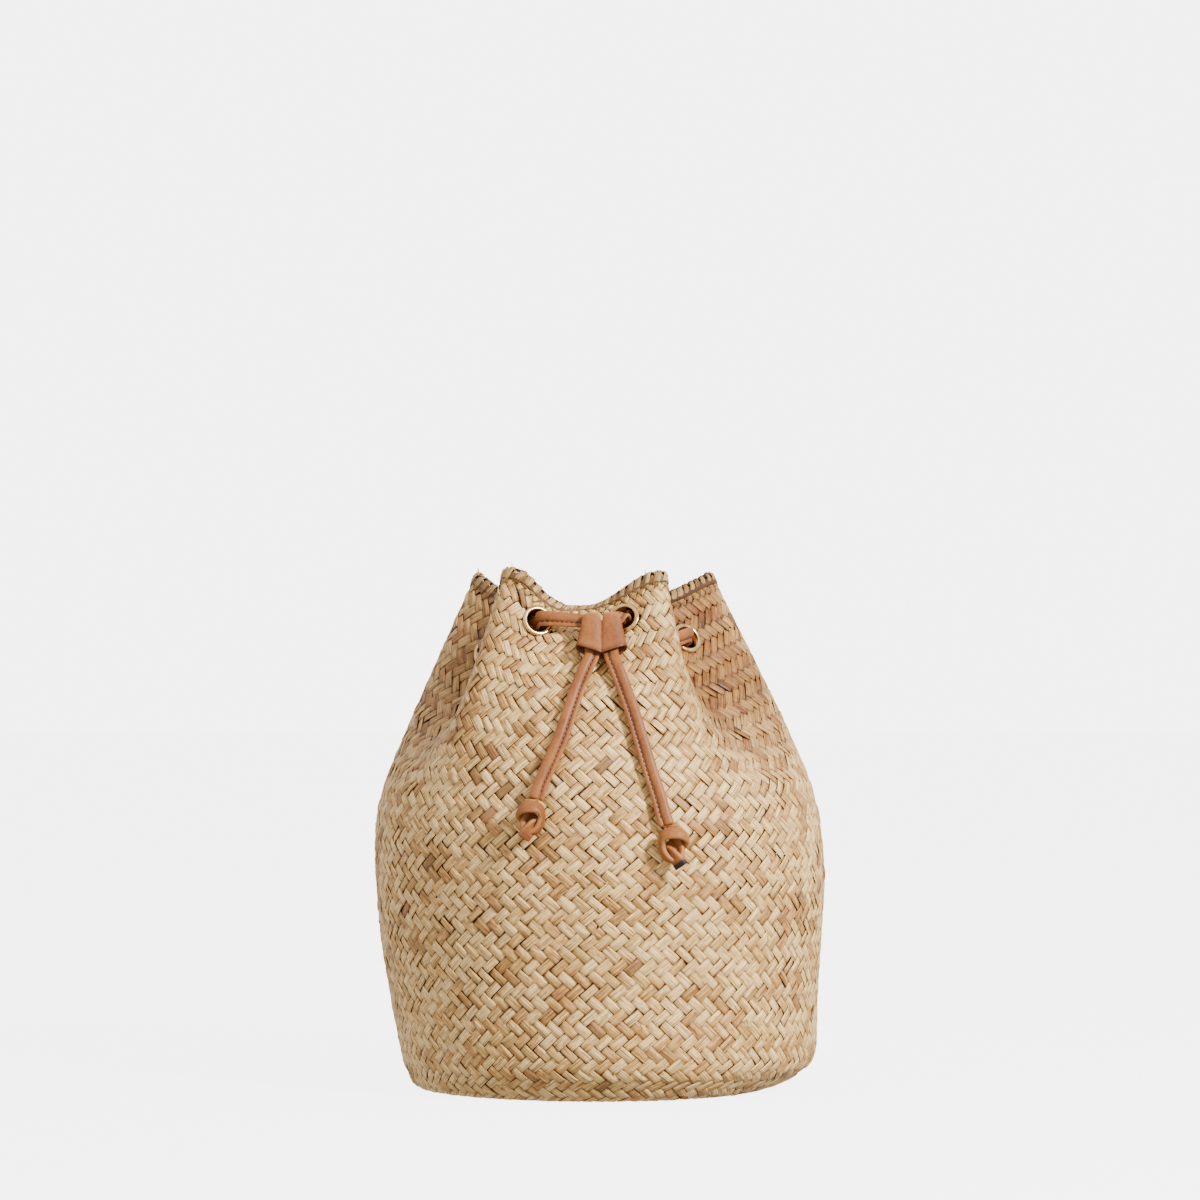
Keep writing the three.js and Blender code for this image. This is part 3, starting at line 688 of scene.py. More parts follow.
def rim_loops():
    """The folded strands along the mouth's edge."""
    own = np.arange(LOOP_COUNT)[:, None]
    jitter = random.normal(0, 0.06, (LOOP_COUNT, 1))
    below, off, rise, slant = LOOP_PATH.T
    turn = 2 * math.pi * (own + slant * 0.9 + jitter) / LOOP_COUNT
    row = np.broadcast_to(TOP_ROW - below, turn.shape)
    here, out, up, beside = rim_frame(turn, row)
    height = 1 + random.normal(0, 0.12, (LOOP_COUNT, 1))
    middle = here + out * (off * MM)[:, None] + up * (rise * MM * height)[..., None]
    along = np.empty_like(middle)
    along[:, 1:-1] = middle[:, 2:] - middle[:, :-2]
    along[:, 0] = middle[:, 1] - middle[:, 0]
    along[:, -1] = middle[:, -1] - middle[:, -2]
    along = unit(along)
    half_step = math.pi / LOOP_COUNT
    step = plait_point(turn + half_step, row) - plait_point(turn - half_step, row)
    width = np.clip(np.linalg.norm(step, axis=-1) * LOOP_SHARE, 1.1 * MM, 2.6 * MM)
    width = width * (1 + random.normal(0, 0.1, (LOOP_COUNT, 1)))
    thickness = np.full(width.shape, LOOP_HALF_THICKNESS)
    rings = ribbon_rings(middle, along, unit(np.cross(beside, along)), width, thickness)
    flats = flat_places(run_along(middle) + random.uniform(0, 3, (LOOP_COUNT, 1)), width)
    values = {
        "strand_tone": np.broadcast_to(random.uniform(0, 1, (LOOP_COUNT, 1)), width.shape),
        "float_tone": np.broadcast_to(random.uniform(0.1, 0.8, (LOOP_COUNT, 1)), width.shape),
        # dip and shade set how much painted shade the finish gives the loops
        "dip": np.full(width.shape, 0.6),
        "shade": valley_shade(turn, row) * 0.6,
    }
    return swept_mesh("straw_rim_loops", rings, flats, values)


def rim_binding(name, off):
    """A flat strand that runs round the mouth on one face of the straw. Its ends overlap at the back."""
    turn = math.pi + np.linspace(-0.02, 2 * math.pi + 0.02, 421)
    row = np.full(turn.shape, TOP_ROW - BINDING_ROW)
    here, out, up, beside = rim_frame(turn, row)
    lift = np.linspace(0, 0.5, len(turn)) * MM * math.copysign(1, off)
    middle = here + out * (off * MM + lift)[:, None]
    width = np.full(turn.shape, BINDING_HALF_WIDTH)
    rings = ribbon_rings(middle, beside, out, width, np.full(turn.shape, BINDING_HALF_THICKNESS))
    values = {
        "strand_tone": [np.full(turn.shape, 0.55)],
        "float_tone": [0.5 + 0.2 * np.sin(turn * 7)],
        # dip and shade set painted shade: a dip of 0.2 makes the binding mostly dark
        "dip": [np.full(turn.shape, 0.2)],
        "shade": [valley_shade(turn, row)],
    }
    return swept_mesh(name, [rings], [flat_places(run_along(middle), width)], values)


def rim_shade_strip():
    """A dark strip inside the fold of the rim, which shows as dark notches between the loops: painted
    shade.
    """
    turn = np.linspace(0, 2 * math.pi, 481)
    row = np.full(turn.shape, TOP_ROW)
    here, out, up, beside = rim_frame(turn, row)
    middle = here - out * CORE_DEPTH - up * CORE_BELOW_RIM
    half = np.full(turn.shape, CORE_HALF)
    rings = ribbon_rings(middle, beside, out, half, half)
    zero = np.zeros(turn.shape)
    # A dip below zero gives the strip the full painted dip shade of the finish.
    values = {"strand_tone": [zero], "float_tone": [zero], "dip": [zero - 0.4], "shade": [zero]}
    return swept_mesh("straw_rim_shade_strip", [rings], [flat_places(run_along(middle), half)], values)


def slivers(name, turns, rows, headings, lengths, widths, lifts):
    """Loose straw slivers. Each starts under the plait, follows a heading and lifts off at its end."""
    share = np.linspace(0, 1, 6)
    tubes, flats = [], []
    for turn, row, heading, length, width, lift in zip(turns, rows, headings, lengths, widths, lifts):
        here, out, up, beside = rim_frame(np.array(turn), np.array(row))
        ahead = up * math.cos(heading) + beside * math.sin(heading)
        rise = lift * share**1.6 + 0.35 * MM * smooth_step(share * 3) - 0.8 * MM
        middle = here + ahead * (share * length)[:, None] + out * rise[:, None]
        middle += np.cross(ahead, out) * (0.07 * length * np.sin(share * 2.4))[:, None]
        along = unit(np.gradient(middle, axis=0))
        thin = width * (1 - 0.75 * share**2)
        outward = np.broadcast_to(out, middle.shape)
        tubes.append(ribbon_rings(middle, along, outward, thin, thin * 0.12 + 0.1 * MM))
        flats.append(flat_places(share * length + random.uniform(0, 3), thin))
    tone = [np.full(6, random.uniform(0.2, 0.9)) for _ in tubes]
    values = {
        "strand_tone": tone,
        "float_tone": [np.full(6, random.uniform(0.3, 0.8)) for _ in tubes],
        "dip": [np.full(6, 0.9)] * len(tubes),
        "shade": [np.zeros(6)] * len(tubes),
    }
    return swept_mesh(name, tubes, flats, values)


# How many slivers stand at the crest of each bend.
CREST_SLIVERS = ((11, 30), (1, 18), (3, 16), (9, 22), (5, 10), (7, 10))


def frayed_crests():
    """Fine slivers that stand up where the crests of the mouth are rubbed."""
    turns, rows = [], []
    for bend, count in CREST_SLIVERS:
        turns += list(np.radians(BENDS["turn"][bend]) + random.normal(0, 0.075, count))
        rows += list(TOP_ROW - random.uniform(0.0, 0.7, count))
    count = len(turns)
    headings = random.normal(0, 0.6, count)
    lengths = random.uniform(2.0, 5.0, count) * MM
    widths = random.uniform(0.2, 0.55, count) * MM
    lifts = random.normal(0.2, 0.9, count) * MM
    return slivers("straw_frayed_crests", turns, rows, headings, lengths, widths, lifts)


LOOSE_END_COUNT = 46
SEEN_LOOSE_END = (50, 8.5)  # turn and row of the one that the photograph shows low on the right


def loose_ends():
    """Cut strand ends that lift a little off the body where a new strand was laid in."""
    count = LOOSE_END_COUNT
    turns = random.uniform(0, 2 * math.pi, count)
    rows = random.uniform(2, TOP_ROW - 4, count)
    turns[0], rows[0] = math.radians(SEEN_LOOSE_END[0]), SEEN_LOOSE_END[1]
    headings = np.where(random.uniform(0, 1, count) < 0.5, 0.8, -0.8) + random.normal(0, 0.12, count)
    lengths = random.uniform(3.5, 7, count) * MM
    widths = random.uniform(0.8, 1.9, count) * MM
    lifts = random.uniform(0.1, 1.3, count) * MM
    kept = clear_of_eyelets(rim_frame(turns, rows)[0]) > 8 * MM
    columns = (turns, rows, headings, lengths, widths, lifts)
    return slivers("straw_loose_ends", *[column[kept] for column in columns])


rim_pieces = [
    rim_loops(),
    rim_shade_strip(),
    rim_binding("straw_binding_outside", 0.1),
    rim_binding("straw_binding_inside", -2.85),
    frayed_crests(),
    loose_ends(),
]
for piece in [base, *rim_pieces]:
    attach(piece, "root")
print("rim:", sum(len(piece.data.polygons) for piece in rim_pieces), "faces")

# %% [markdown]
# ## The brass eyelets
# A real eyelet is a short brass tube pressed through the straw, with a rolled flange on each face. It is
# one closed outline turned round an axis, so the outline is laid down once as vertices and spun. The other
# eleven are copies, each with its own mesh turned to its own place. Twelve separate models would only
# differ by chance.

# %% Eyelet
EYELET_SIDES = 48
# Radius and height of the outline's upper half, in millimetres. The lower half mirrors it.
EYELET_OUTLINE = (
    (7.3, 0.9),
    (7.32, 1.8),
    (7.45, 2.3),
    (7.85, 2.68),
    (8.5, 2.82),
    (9.3, 2.62),
    (10.0, 2.2),
    (10.3, 1.85),
    (10.1, 1.62),
    (9.3, 1.62),
    (7.9, 1.62),
    (7.9, 0.8),
)


def model_eyelet():
    """One eyelet round the Z axis, its middle at the origin."""
    upper = [(radius, 0, height) for radius, height in EYELET_OUTLINE]
    lower = [(radius, 0, -height) for radius, height in reversed(EYELET_OUTLINE)]
    outline = np.array(upper + lower) * MM
    count = len(outline)
    mesh = bpy.data.meshes.new("eyelet_model")
    mesh.from_pydata(outline.tolist(), [(k, (k + 1) % count) for k in range(count)], [])
    model = add_object("eyelet_model", mesh)
    bpy.ops.object.select_all(action="DESELECT")
    model.select_set(True)
    bpy.context.view_layer.objects.active = model
    bpy.ops.object.mode_set(mode="EDIT")
    bpy.ops.mesh.select_all(action="SELECT")
    bpy.ops.mesh.spin(steps=EYELET_SIDES, angle=2 * math.pi, center=(0, 0, 0), axis=(0, 0, 1))
    bpy.ops.mesh.select_all(action="SELECT")
    bpy.ops.mesh.remove_doubles(threshold=1e-5)
    bpy.ops.mesh.normals_make_consistent(inside=False)
    bpy.ops.object.mode_set(mode="OBJECT")
    mesh.shade_smooth()
    return model


model = model_eyelet()
eyelet_pieces = []
for number, (middle, axis) in enumerate(eyelets, start=1):
    ring_mesh = model.data.copy()
    turned = Vector((0, 0, 1)).rotation_difference(Vector(axis)).to_matrix().to_4x4()
    ring_mesh.transform(Matrix.Translation(middle) @ turned)
    ring = add_object(f"brass_eyelet_{number}", ring_mesh)
    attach(ring, "root")
    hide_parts(f"eyelet_{number}")
    eyelet_pieces.append(ring)
bpy.data.objects.remove(model)
print("eyelets:", len(eyelet_pieces), "with", len(ring_mesh.polygons), "faces each")

# %% [markdown]
# ## Routes for the leather
# Cord and straps are bands that follow a route. A centripetal Catmull-Rom curve passes through every stop
# without overshooting, and it is cut into even steps so that stitches can be counted along it. The width's
# direction is given at the stops and blended between them, which keeps the band from twisting by itself.

# %% Smooth routes and their frames
def smooth_route(stops, spacing, span=20):
    """Even points of a smooth curve through the stops, and where each lies, counted in stops."""
    stops = np.asarray(stops, float)
    line = np.concatenate([[2 * stops[0] - stops[1]], stops, [2 * stops[-1] - stops[-2]]])
    before, start, end, after = line[:-3], line[1:-2], line[2:-1], line[3:]
    gaps = [np.sqrt(np.linalg.norm(b - a, axis=-1, keepdims=True)) for a, b in zip(line, line[1:])]
    first, second, third = np.array(gaps[:-2]), np.array(gaps[1:-1]), np.array(gaps[2:])
    leave = (start - before) / first - (end - before) / (first + second) + (end - start) / second
    arrive = (end - start) / second - (after - start) / (second + third) + (after - end) / third
    share = np.linspace(0, 1, span, endpoint=False)[:, None, None]
    curve = hermite(start, leave * second, end, arrive * second, share).transpose(1, 0, 2)
    dense = np.concatenate([curve.reshape(-1, 3), stops[-1:]])
    place = np.arange(len(dense)) / span
    run = run_along(dense)
    even = np.linspace(0, run[-1], max(int(run[-1] / spacing), 4) + 1)
    return at_run(run, dense, even), np.interp(even, run, place), even


def at_run(run, rows, wanted):
    """Rows of vectors read off at other lengths along the same route."""
    return np.stack([np.interp(wanted, run, rows[:, k]) for k in range(rows.shape[1])], axis=-1)


def band_frames(middle, across):
    """The heading, the side and the outward direction along a route, from its width's direction."""
    along = unit(np.gradient(middle, axis=0))
    side = unit(across - along * np.sum(across * along, axis=-1, keepdims=True))
    return along, side, np.cross(side, along)


def closed_section(upper):
    """A closed outline from its upper half: over the top and back along the bottom."""
    upper = np.array(upper)
    return np.concatenate([upper, upper[-2:0:-1] * (1, -1)])


def even_section(edge):
    """A closed section that is the same on both sides, from its upper left edge."""
    return closed_section((*edge, (0, 1), *[(-across, up) for across, up in reversed(edge)]))


def leather_values(section, count, edge, groove, cut=None):
    """Where a band is rubbed at its edges and dark in its seam, for the finish to read."""
    aside = section[:, 0]
    rubbed = np.clip((np.abs(aside) - edge) / (1 - edge), 0, 1)
    seam = np.exp(-(((aside - groove) / 0.09) ** 2))
    return {
        "rubbed": [np.broadcast_to(rubbed, (count, len(aside)))],
        "seam": [np.broadcast_to(seam, (count, len(aside)))],
        "cut": [np.zeros(count) if cut is None else cut],
    }


# %% [markdown]
# ## Stitches
# A seam shows as short bows of thread, one about every three millimetres, whose ends sink into the
# leather. Each bow is a chain of four small six-sided rings. A long seam has a few hundred of them, so they
# are laid out by array in one mesh, each with few faces.

# %% Thread bows along a route
THREAD_SECTION = np.array([(math.cos(a), math.sin(a)) for a in np.radians((180, 120, 60, 0, -60, -120))])
BOW_PLACES = np.array((-0.5, -0.3, 0.3, 0.5))
BOW_RISE = np.array((-0.3, 0.1, 0.1, -0.3)) * MM
BOW_THICKNESS = np.array((0.7, 1, 1, 0.7))


def bows(run, middle, side, out, aside, stitch):
    """Bows of thread at a distance aside of a route's middle and lifted off it."""
    starts = np.arange(stitch["margin"], run[-1] - stitch["margin"], stitch["pitch"])
    places = starts[:, None] + BOW_PLACES * stitch["length"]
    shape = (*places.shape, 3)
    route = (middle, side, out)
    here, sideways, outward = (at_run(run, rows, places.ravel()).reshape(shape) for rows in route)
    outward = unit(outward)
    centre = here + unit(sideways) * aside + outward * (stitch["lift"] + BOW_RISE)[None, :, None]
    along = unit(np.gradient(centre, axis=1))
    size = np.broadcast_to(stitch["radius"] * BOW_THICKNESS, places.shape)
    return list(ribbon_rings(centre, along, outward, size, size, section=THREAD_SECTION))


# %% [markdown]
# ## The leather cord
# The cord is a strip of leather folded round a filling and sewn shut beside it: one side is round, the
# other a thin flange, and the seam lies in the groove between them. It runs over the slider, out and in
# through the twelve eyelets and back. Its two free ends lie down the front of the bag. Those are real
# cords with a length of their own.

# %% Drawstring
CORD_WIDTH = 9.4 * MM
CORD_THICKNESS = 4.4 * MM
CORD_CLEAR = 5.5 * MM
CORD_SET_BACK = 1.1 * MM
# Half of the section, in millimetres: across from the round side to the flange, and half the thickness.
CORD_HALF = np.array(
    (
        (-4.7, 0),
        (-4.52, 0.85),
        (-4.05, 1.42),
        (-3.2, 1.93),
        (-2.2, 2.17),
        (-1.2, 2.2),
        (-0.2, 2.08),
        (0.6, 1.75),
        (1.15, 1.3),
        (1.5, 0.86),
        (1.8, 0.7),
        (2.15, 0.84),
        (2.6, 1.08),
        (3.4, 1.14),
        (4.1, 1.02),
        (4.55, 0.62),
        (4.7, 0),
    )
)
CORD_SECTION = closed_section(CORD_HALF / (4.7, 2.2))
MIRRORED_SECTION = CORD_SECTION[::-1] * (-1, 1)
SEAM_ASIDE = 1.85 * MM
GROOVE = SEAM_ASIDE / (CORD_WIDTH / 2)
CORD_STITCH = {
    "lift": 0.95 * MM,
    "pitch": 3 * MM,
    "length": 2 * MM,
    "radius": 0.42 * MM,
    "margin": 4 * MM,
}
LOOP_MIDDLE = 5.8 * MM
LOOP_HEIGHT = 12 * MM
CORD_JOIN = LOOP_HEIGHT / 2
JOIN_GAP = 0.15 * MM  # between the drawstring and a free end, hidden in the slider
CORD_STEP = 1.5 * MM
SLIDER_LEAN = 30  # degrees
SLIDER_FROM_EYELET = np.array((-14.1, -18.7, -18.7)) * MM
slider_lean = math.radians(SLIDER_LEAN)
slider_right = np.array((1.0, 0, 0))
slider_up = np.array((0, math.sin(slider_lean), math.cos(slider_lean)))
slider_out = np.array((0, -math.cos(slider_lean), math.sin(slider_lean)))
slider_foot = eyelets[1][0] + SLIDER_FROM_EYELET


def on_slider(right, up, out=0.0):
    """A place on the slider: right of its middle, up from its lower edge and out of its middle plane."""
    return slider_foot + slider_right * right + slider_up * up + slider_out * out


def drawstring_stops():
    """The stops of the drawstring with the direction from its flange to its round side at each."""
    upright = np.array((0, 0, 1.0))
    stops = [
        (on_slider(LOOP_MIDDLE, CORD_JOIN + JOIN_GAP), -slider_right),
        (on_slider(LOOP_MIDDLE, LOOP_HEIGHT + 2 * MM), -slider_right),
        (on_slider(LOOP_MIDDLE + 2 * MM, LOOP_HEIGHT + 9 * MM, -CORD_SET_BACK), -slider_right),
    ]
    count = len(eyelets)
    for k in range(1, count, 2):
        for number, way in ((k, -1), ((k + 1) % count, 1)):
            middle, axis = eyelets[number]
            width = -slider_right if number == 1 else upright
            stops += [(middle + axis * CORD_CLEAR * way * share, width) for share in (-1, 0, 1)]
    bend = CORD_WIDTH * 0.75
    top = LOOP_HEIGHT + bend + 2 * MM
    for share in (1, 0.75, 0.5, 0.25, 0):
        angle = share * math.pi / 2
        right = -LOOP_MIDDLE - bend * (1 - math.cos(angle))
        place = on_slider(right, top - bend * (1 - math.sin(angle)), -CORD_SET_BACK * share)
        stops.append((place, slider_right * math.cos(angle) + slider_up * math.sin(angle)))
    stops.append((on_slider(-LOOP_MIDDLE, CORD_JOIN + JOIN_GAP), slider_right))
    return stops


def band_piece(name, stops, widths, section, half_width, half_thickness, spacing, ends=None, **values):
    """A band swept along stops. Returns the piece with its run, middles, sides and outward directions."""
    middle, place, run = smooth_route(stops, spacing)
    across = at_run(np.arange(len(stops)), np.asarray(widths, float), place)
    along, side, out = band_frames(middle, across)
    narrow = np.ones(len(run)) if ends is None else rounded_ends(run, ends)
    thickness = np.full(len(run), half_thickness)
    rings = ribbon_rings(middle, along, out, half_width * narrow, thickness, section=section)
    flats = flat_places(run, np.full(len(run), half_width), section=section)
    if "cut" in values:
        values["cut"] = values["cut"](run)
    made = swept_mesh(name, [rings], [flats], leather_values(section, len(run), **values))
    return made, run, middle, side, out


def rounded_ends(run, radius):
    """How wide a band is along its run when its ends are cut round."""
    nearest = np.minimum(run, run[-1] - run)
    past = np.clip(1 - nearest / radius, 0, 1)
    return np.sqrt(np.clip(1 - past * past, 0.02, 1))


stops = drawstring_stops()
cord, run, middle, side, out = band_piece(
    "cord_round_mouth",
    [place for place, _ in stops],
    [-width for _, width in stops],
    CORD_SECTION,
    CORD_WIDTH / 2,
    CORD_THICKNESS / 2,
    CORD_STEP,
    edge=0.9,
    groove=GROOVE,
)
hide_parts("drawstring")
leather_pieces = [cord]
thread_tubes = {"thread_cord": []}
for face in (1, -1):
    thread_tubes["thread_cord"] += bows(run, middle, side, out * face, SEAM_ASIDE, CORD_STITCH)
print("drawstring:", round(run[-1] * 1000), "mm long")

# %% Free ends of the cord
# The middles of the free ends as they lie down the front, in millimetres before the shift.
TAIL_ROUTES = {
    "tail_left": (
        (-8.6, -114.2, 269),
        (-12.4, -117, 260),
        (-18.4, -124.4, 243),
        (-24.6, -131, 225),
        (-31.5, -135, 209),
        (-36.3, -138.2, 198),
        (-39.1, -140.3, 188.8),
    ),
    "tail_right": (
        (9.8, -114.6, 270),
        (13.6, -118, 260),
        (19.7, -124.8, 243),
        (25.2, -130.8, 225),
        (30.9, -136, 206),
        (36.4, -139.4, 189),
        (38.2, -140.8, 182),
        (41, -142.4, 173),
    ),
}


def free_end(name, sign, section, seam_side):
    """One free end, from the join inside the slider down to its knot."""
    start = [on_slider(sign * LOOP_MIDDLE, up * MM) for up in (5.85, 0, -3.13)]
    stops = start + [np.array(stop) * MM + SHIFT for stop in TAIL_ROUTES[name]]
    widths = [-slider_right] * len(stops)
    made, run, middle, side, out = band_piece(
        f"cord_{name}",
        stops,
        widths,
        section,
        CORD_WIDTH / 2,
        CORD_THICKNESS / 2,
        CORD_STEP,
        edge=0.9,
        groove=GROOVE * seam_side,
    )
    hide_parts(name)
    rows = []
    for face in (1, -1):
        rows += bows(run, middle, side, out * face, SEAM_ASIDE * seam_side, CORD_STITCH)
    return made, run, middle, rows


tails = {}
for name, sign, section, seam_side in (
    ("tail_left", -1, MIRRORED_SECTION, -1),
    ("tail_right", 1, CORD_SECTION, 1),
):
    made, run, middle, rows = free_end(name, sign, section, seam_side)
    tails[name] = (made, run[-1], middle)
    leather_pieces.append(made)
    thread_tubes[f"thread_{name}"] = rows
    print(name, "is", round(run[-1] * 1000), "mm long")

# %% [markdown]
# ## The knots
# Each free end is tied in an overhand knot: the cord goes down behind, turns up, wraps round the front
# and comes back through its own loop, tip first. A knot is the same cord on a tighter route, pressed
# flatter where it wraps, so it is swept along eighteen stops. Its flat side faces away from the middle of
# the knot.

# %% Overhand knots
# The stops of a knot round its middle, in millimetres: across, back and up.
KNOT_STOPS = np.array(
    (
        (0, 0.4, 12.8),
        (0.4, 1.4, 8.4),
        (1.8, 2.4, 2.4),
        (4.0, 1.8, -3.4),
        (3.2, 0.2, -7.6),
        (-1.0, -1.2, -8.6),
        (-4.8, -1.6, -5.2),
        (-6.6, -1.6, 1.2),
        (-5.6, -3.8, 6.2),
        (-1, -5.7, 8.2),
        (4.4, -4.9, 7.8),
        (7.2, -1.2, 5.6),
        (6.0, 2.8, 2.4),
        (1.4, 3.2, 0.4),
        (-1.0, 0.6, -1.6),
        (0, -2.8, -4.6),
        (2.6, -4.4, -8.6),
        (5.2, -4.4, -12.4),
    )
)
KNOT_SECTION = even_section(((-1, 0), (-0.93, 0.5), (-0.75, 0.82), (-0.4, 0.98)))
KNOT_HALF_WIDTH = 4.5 * MM
KNOT_HALF_THICKNESS = 2 * MM
TIP_LENGTH = 4.2 * MM


def overhand_knot(name, middle, size, mirror, dark_tip):
    """A knot round a middle. Mirror is -1 for a knot tied the other way round."""
    stops = KNOT_STOPS * (mirror, 1, 1) * size * MM
    outward = unit(stops * (1, 1.4, 1) + np.array((0, -1e-5, 0)))
    heading = unit(np.gradient(stops, axis=0))
    widths = unit(np.cross(heading, outward))
    for k in range(1, len(widths)):
        if np.dot(widths[k], widths[k - 1]) < 0:
            widths[k] = -widths[k]

    def tip(run):
        """How dark the cord's cut end is along the run."""
        return smooth_step((run - run[-1] + TIP_LENGTH) / (1.2 * MM)) * dark_tip

    centre = np.array(middle) * MM + SHIFT
    made, *_ = band_piece(
        f"cord_{name}",
        stops + centre,
        widths,
        KNOT_SECTION,
        KNOT_HALF_WIDTH,
        KNOT_HALF_THICKNESS,
        0.9 * MM,
        edge=0.8,
        groove=0.62,
        cut=tip,
    )
    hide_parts(name)
    return made


knots = {
    "tail_left": overhand_knot("knot_left", (-42, -142.9, 177), (0.94, 0.92, 0.94), -1, 0.3),
    "tail_right": overhand_knot("knot_right", (44.5, -144.3, 160.5), (1.04, 0.94, 1.0), 1, 1.0),
}
for name, (made, length, middle) in tails.items():
    leather_pieces.append(knots[name])
    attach(made, "root")
    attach(knots[name], "root")
TIED_PIECES = ("cord_tail_left", "cord_tail_right", "cord_knot_left", "cord_knot_right")

# %% [markdown]
# ## The slider
# Two short leather sleeves stand side by side and hold the cord's ends together. Their fronts rise higher
# than their backs and hide the cord's turn, and their lower edges flare and are folded under into a lip
# that dips towards the middle. The dark band along the lip is painted shade, where the lip meets the cord.
# A sleeve is one sheet wrapped round: a grid of vertices gives its cut
# edges, and the Solidify and Subdivision Surface modifiers give its thickness and soft corners.

# %% Leather sleeves
SLEEVE_COLUMNS = 40
SLEEVE_ROWS = 10
SLEEVE_WALL = 1.5 * MM
SLEEVE_HALF_WIDTH = 6.25 * MM
SLEEVE_HALF_DEPTH = 4.25 * MM


def sleeve(sign):
    """One sleeve of the slider. Sign is 1 on the right and -1 on the left."""
    angle = np.linspace(0, 2 * math.pi, SLEEVE_COLUMNS, endpoint=False)
    wide, deep = np.sin(angle), np.cos(angle)
    corner = (np.abs(wide) ** 3.2 + np.abs(deep) ** 3.2) ** (-1 / 3.2)
    wide, deep = wide * corner, deep * corner
    up = np.linspace(0, 1, SLEEVE_ROWS)[:, None]
    front = smooth_step((deep - 0.55) / 0.4)
    top = (LOOP_HEIGHT + front * 11.6 * MM) - wide * sign * 0.6 * MM
    bottom = (wide * sign) * 2.9 * MM - 1.9 * MM - front * 0.8 * MM
    height = bottom + (top - bottom) * up**0.9
    flare = 1 + 0.17 * (1 - smooth_step(height / (11 * MM)))
    lip = 1 + 0.1 * np.exp(-(((height - bottom) / (0.9 * MM)) ** 2))
    spread = 0.9 * MM * (1 - smooth_step(height / (14 * MM)))
    right = sign * (SLEEVE_HALF_WIDTH + spread) + wide * SLEEVE_HALF_WIDTH * flare * lip
    outwards = deep * SLEEVE_HALF_DEPTH * (1 + 0.1 * (flare - 1)) * lip
    crown = front * 0.5 * MM * np.cos(wide * math.pi / 2) * smooth_step(height / (20 * MM))
    places = (
        slider_foot
        + slider_right * right[..., None]
        + slider_up * height[..., None]
        + slider_out * (outwards + crown)[..., None]
    )
    index = np.arange(SLEEVE_ROWS * SLEEVE_COLUMNS).reshape(SLEEVE_ROWS, SLEEVE_COLUMNS)
    ahead = np.roll(index, -1, axis=1)
    quads = np.stack([index[:-1], index[1:], ahead[1:], ahead[:-1]], axis=-1).reshape(-1, 4)
    mesh = bpy.data.meshes.new("slider_sleeve")
    mesh.from_pydata(places.reshape(-1, 3).tolist(), [], quads.tolist())
    flats = np.stack(np.broadcast_arrays(angle[None, :] * 5 * MM, height), axis=-1).reshape(-1, 2)
    loops = np.array([loop.vertex_index for loop in mesh.loops])
    mesh.uv_layers.new(name="UVMap").data.foreach_set("uv", flats[loops].astype(np.float32).ravel())
    # Painted shade along the lower edge, where the lip meets the cord. It goes into the seam and cut
    # values.
    lower_edge_shade = np.exp(-(((height - bottom) / (1.6 * MM)) ** 2))
    high_edge = np.exp(-(((top - height) / (0.8 * MM)) ** 2))
    for key, value in (("seam", lower_edge_shade), ("rubbed", high_edge), ("cut", lower_edge_shade * 0.35)):
        attribute = mesh.attributes.new(key, "FLOAT", "POINT")
        by_point = np.broadcast_to(value, height.shape).astype(np.float32)
        attribute.data.foreach_set("value", by_point.ravel())
    made = add_object("slider_sleeve_right" if sign > 0 else "slider_sleeve_left", mesh)
    wall = made.modifiers.new("leather", "SOLIDIFY")
    wall.thickness = SLEEVE_WALL
    wall.offset = -1
    soft = made.modifiers.new("soft", "SUBSURF")
    soft.levels = soft.render_levels = 2
    bpy.ops.object.select_all(action="DESELECT")
    made.select_set(True)
    bpy.context.view_layer.objects.active = made
    for modifier in ("leather", "soft"):
        bpy.ops.object.modifier_apply(modifier=modifier)
    made.data.shade_smooth()
    return made


for sign in (-1, 1):
    made = sleeve(sign)
    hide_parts("slider")
    leather_pieces.append(made)
print("slider:", len(made.data.polygons), "faces a sleeve")

# %% [markdown]
# ## The shoulder straps
# The photograph hides the back, so the straps are plain: two flat bands of the same leather, each sewn to
# the straw at both ends and sewn along both edges. Their ends are cut round. Each end lies flat on the
# straw, and between them the strap hangs in a soft bow.

# %% Straps
STRAP_WIDTH = 20 * MM
STRAP_THICKNESS = 3 * MM
STRAP_LIFT = 1.2 * MM
STRAP_SEAM = 7.9 * MM
STRAP_STITCH = {
    "lift": 1.3 * MM,
    "pitch": 3.6 * MM,
    "length": 2.6 * MM,
    "radius": 0.36 * MM,
    "margin": 7 * MM,
}
CROSS_STITCH = {
    "lift": STRAP_THICKNESS / 2 + 0.05 * MM,
    "pitch": 2.9 * MM,
    "length": 2.2 * MM,
    "radius": 0.36 * MM,
    "margin": 0.9 * MM,
}
CROSS_ROWS = (7 * MM, 13.5 * MM)  # from each end of a strap
CROSS_HALF = 7.4 * MM
# Turn from the middle of the back in degrees, then height and what reaches below, as shares of the height.
STRAP_STITCHED = (7, 0.713, 0.042)
STRAP_FOOT = (37, 0.139, 0.042)
STRAP_FREE = (
    (0.066, 0.462, 0.598),
    (0.103, 0.523, 0.483),
    (0.148, 0.535, 0.366),
    (0.193, 0.477, 0.26),
    (0.224, 0.387, 0.19),
)
STRAP_SECTION = even_section(
    ((-1, 0), (-0.985, 0.55), (-0.94, 0.86), (-0.86, 0.97), (-0.79, 0.84), (-0.72, 0.97), (-0.4, 1))
)


def on_back(turn, height, off, side):
    """A place off the straw of the back at a height."""
    place = np.array(math.pi - math.radians(turn) * side)
    levels = np.linspace(0, 2, 2001)
    level = np.interp(height * BAG_HEIGHT, straw_point(place, levels)[:, 2], levels)
    return straw_point(place, level) + straw_normal(place, np.array(level)) * off + SHIFT


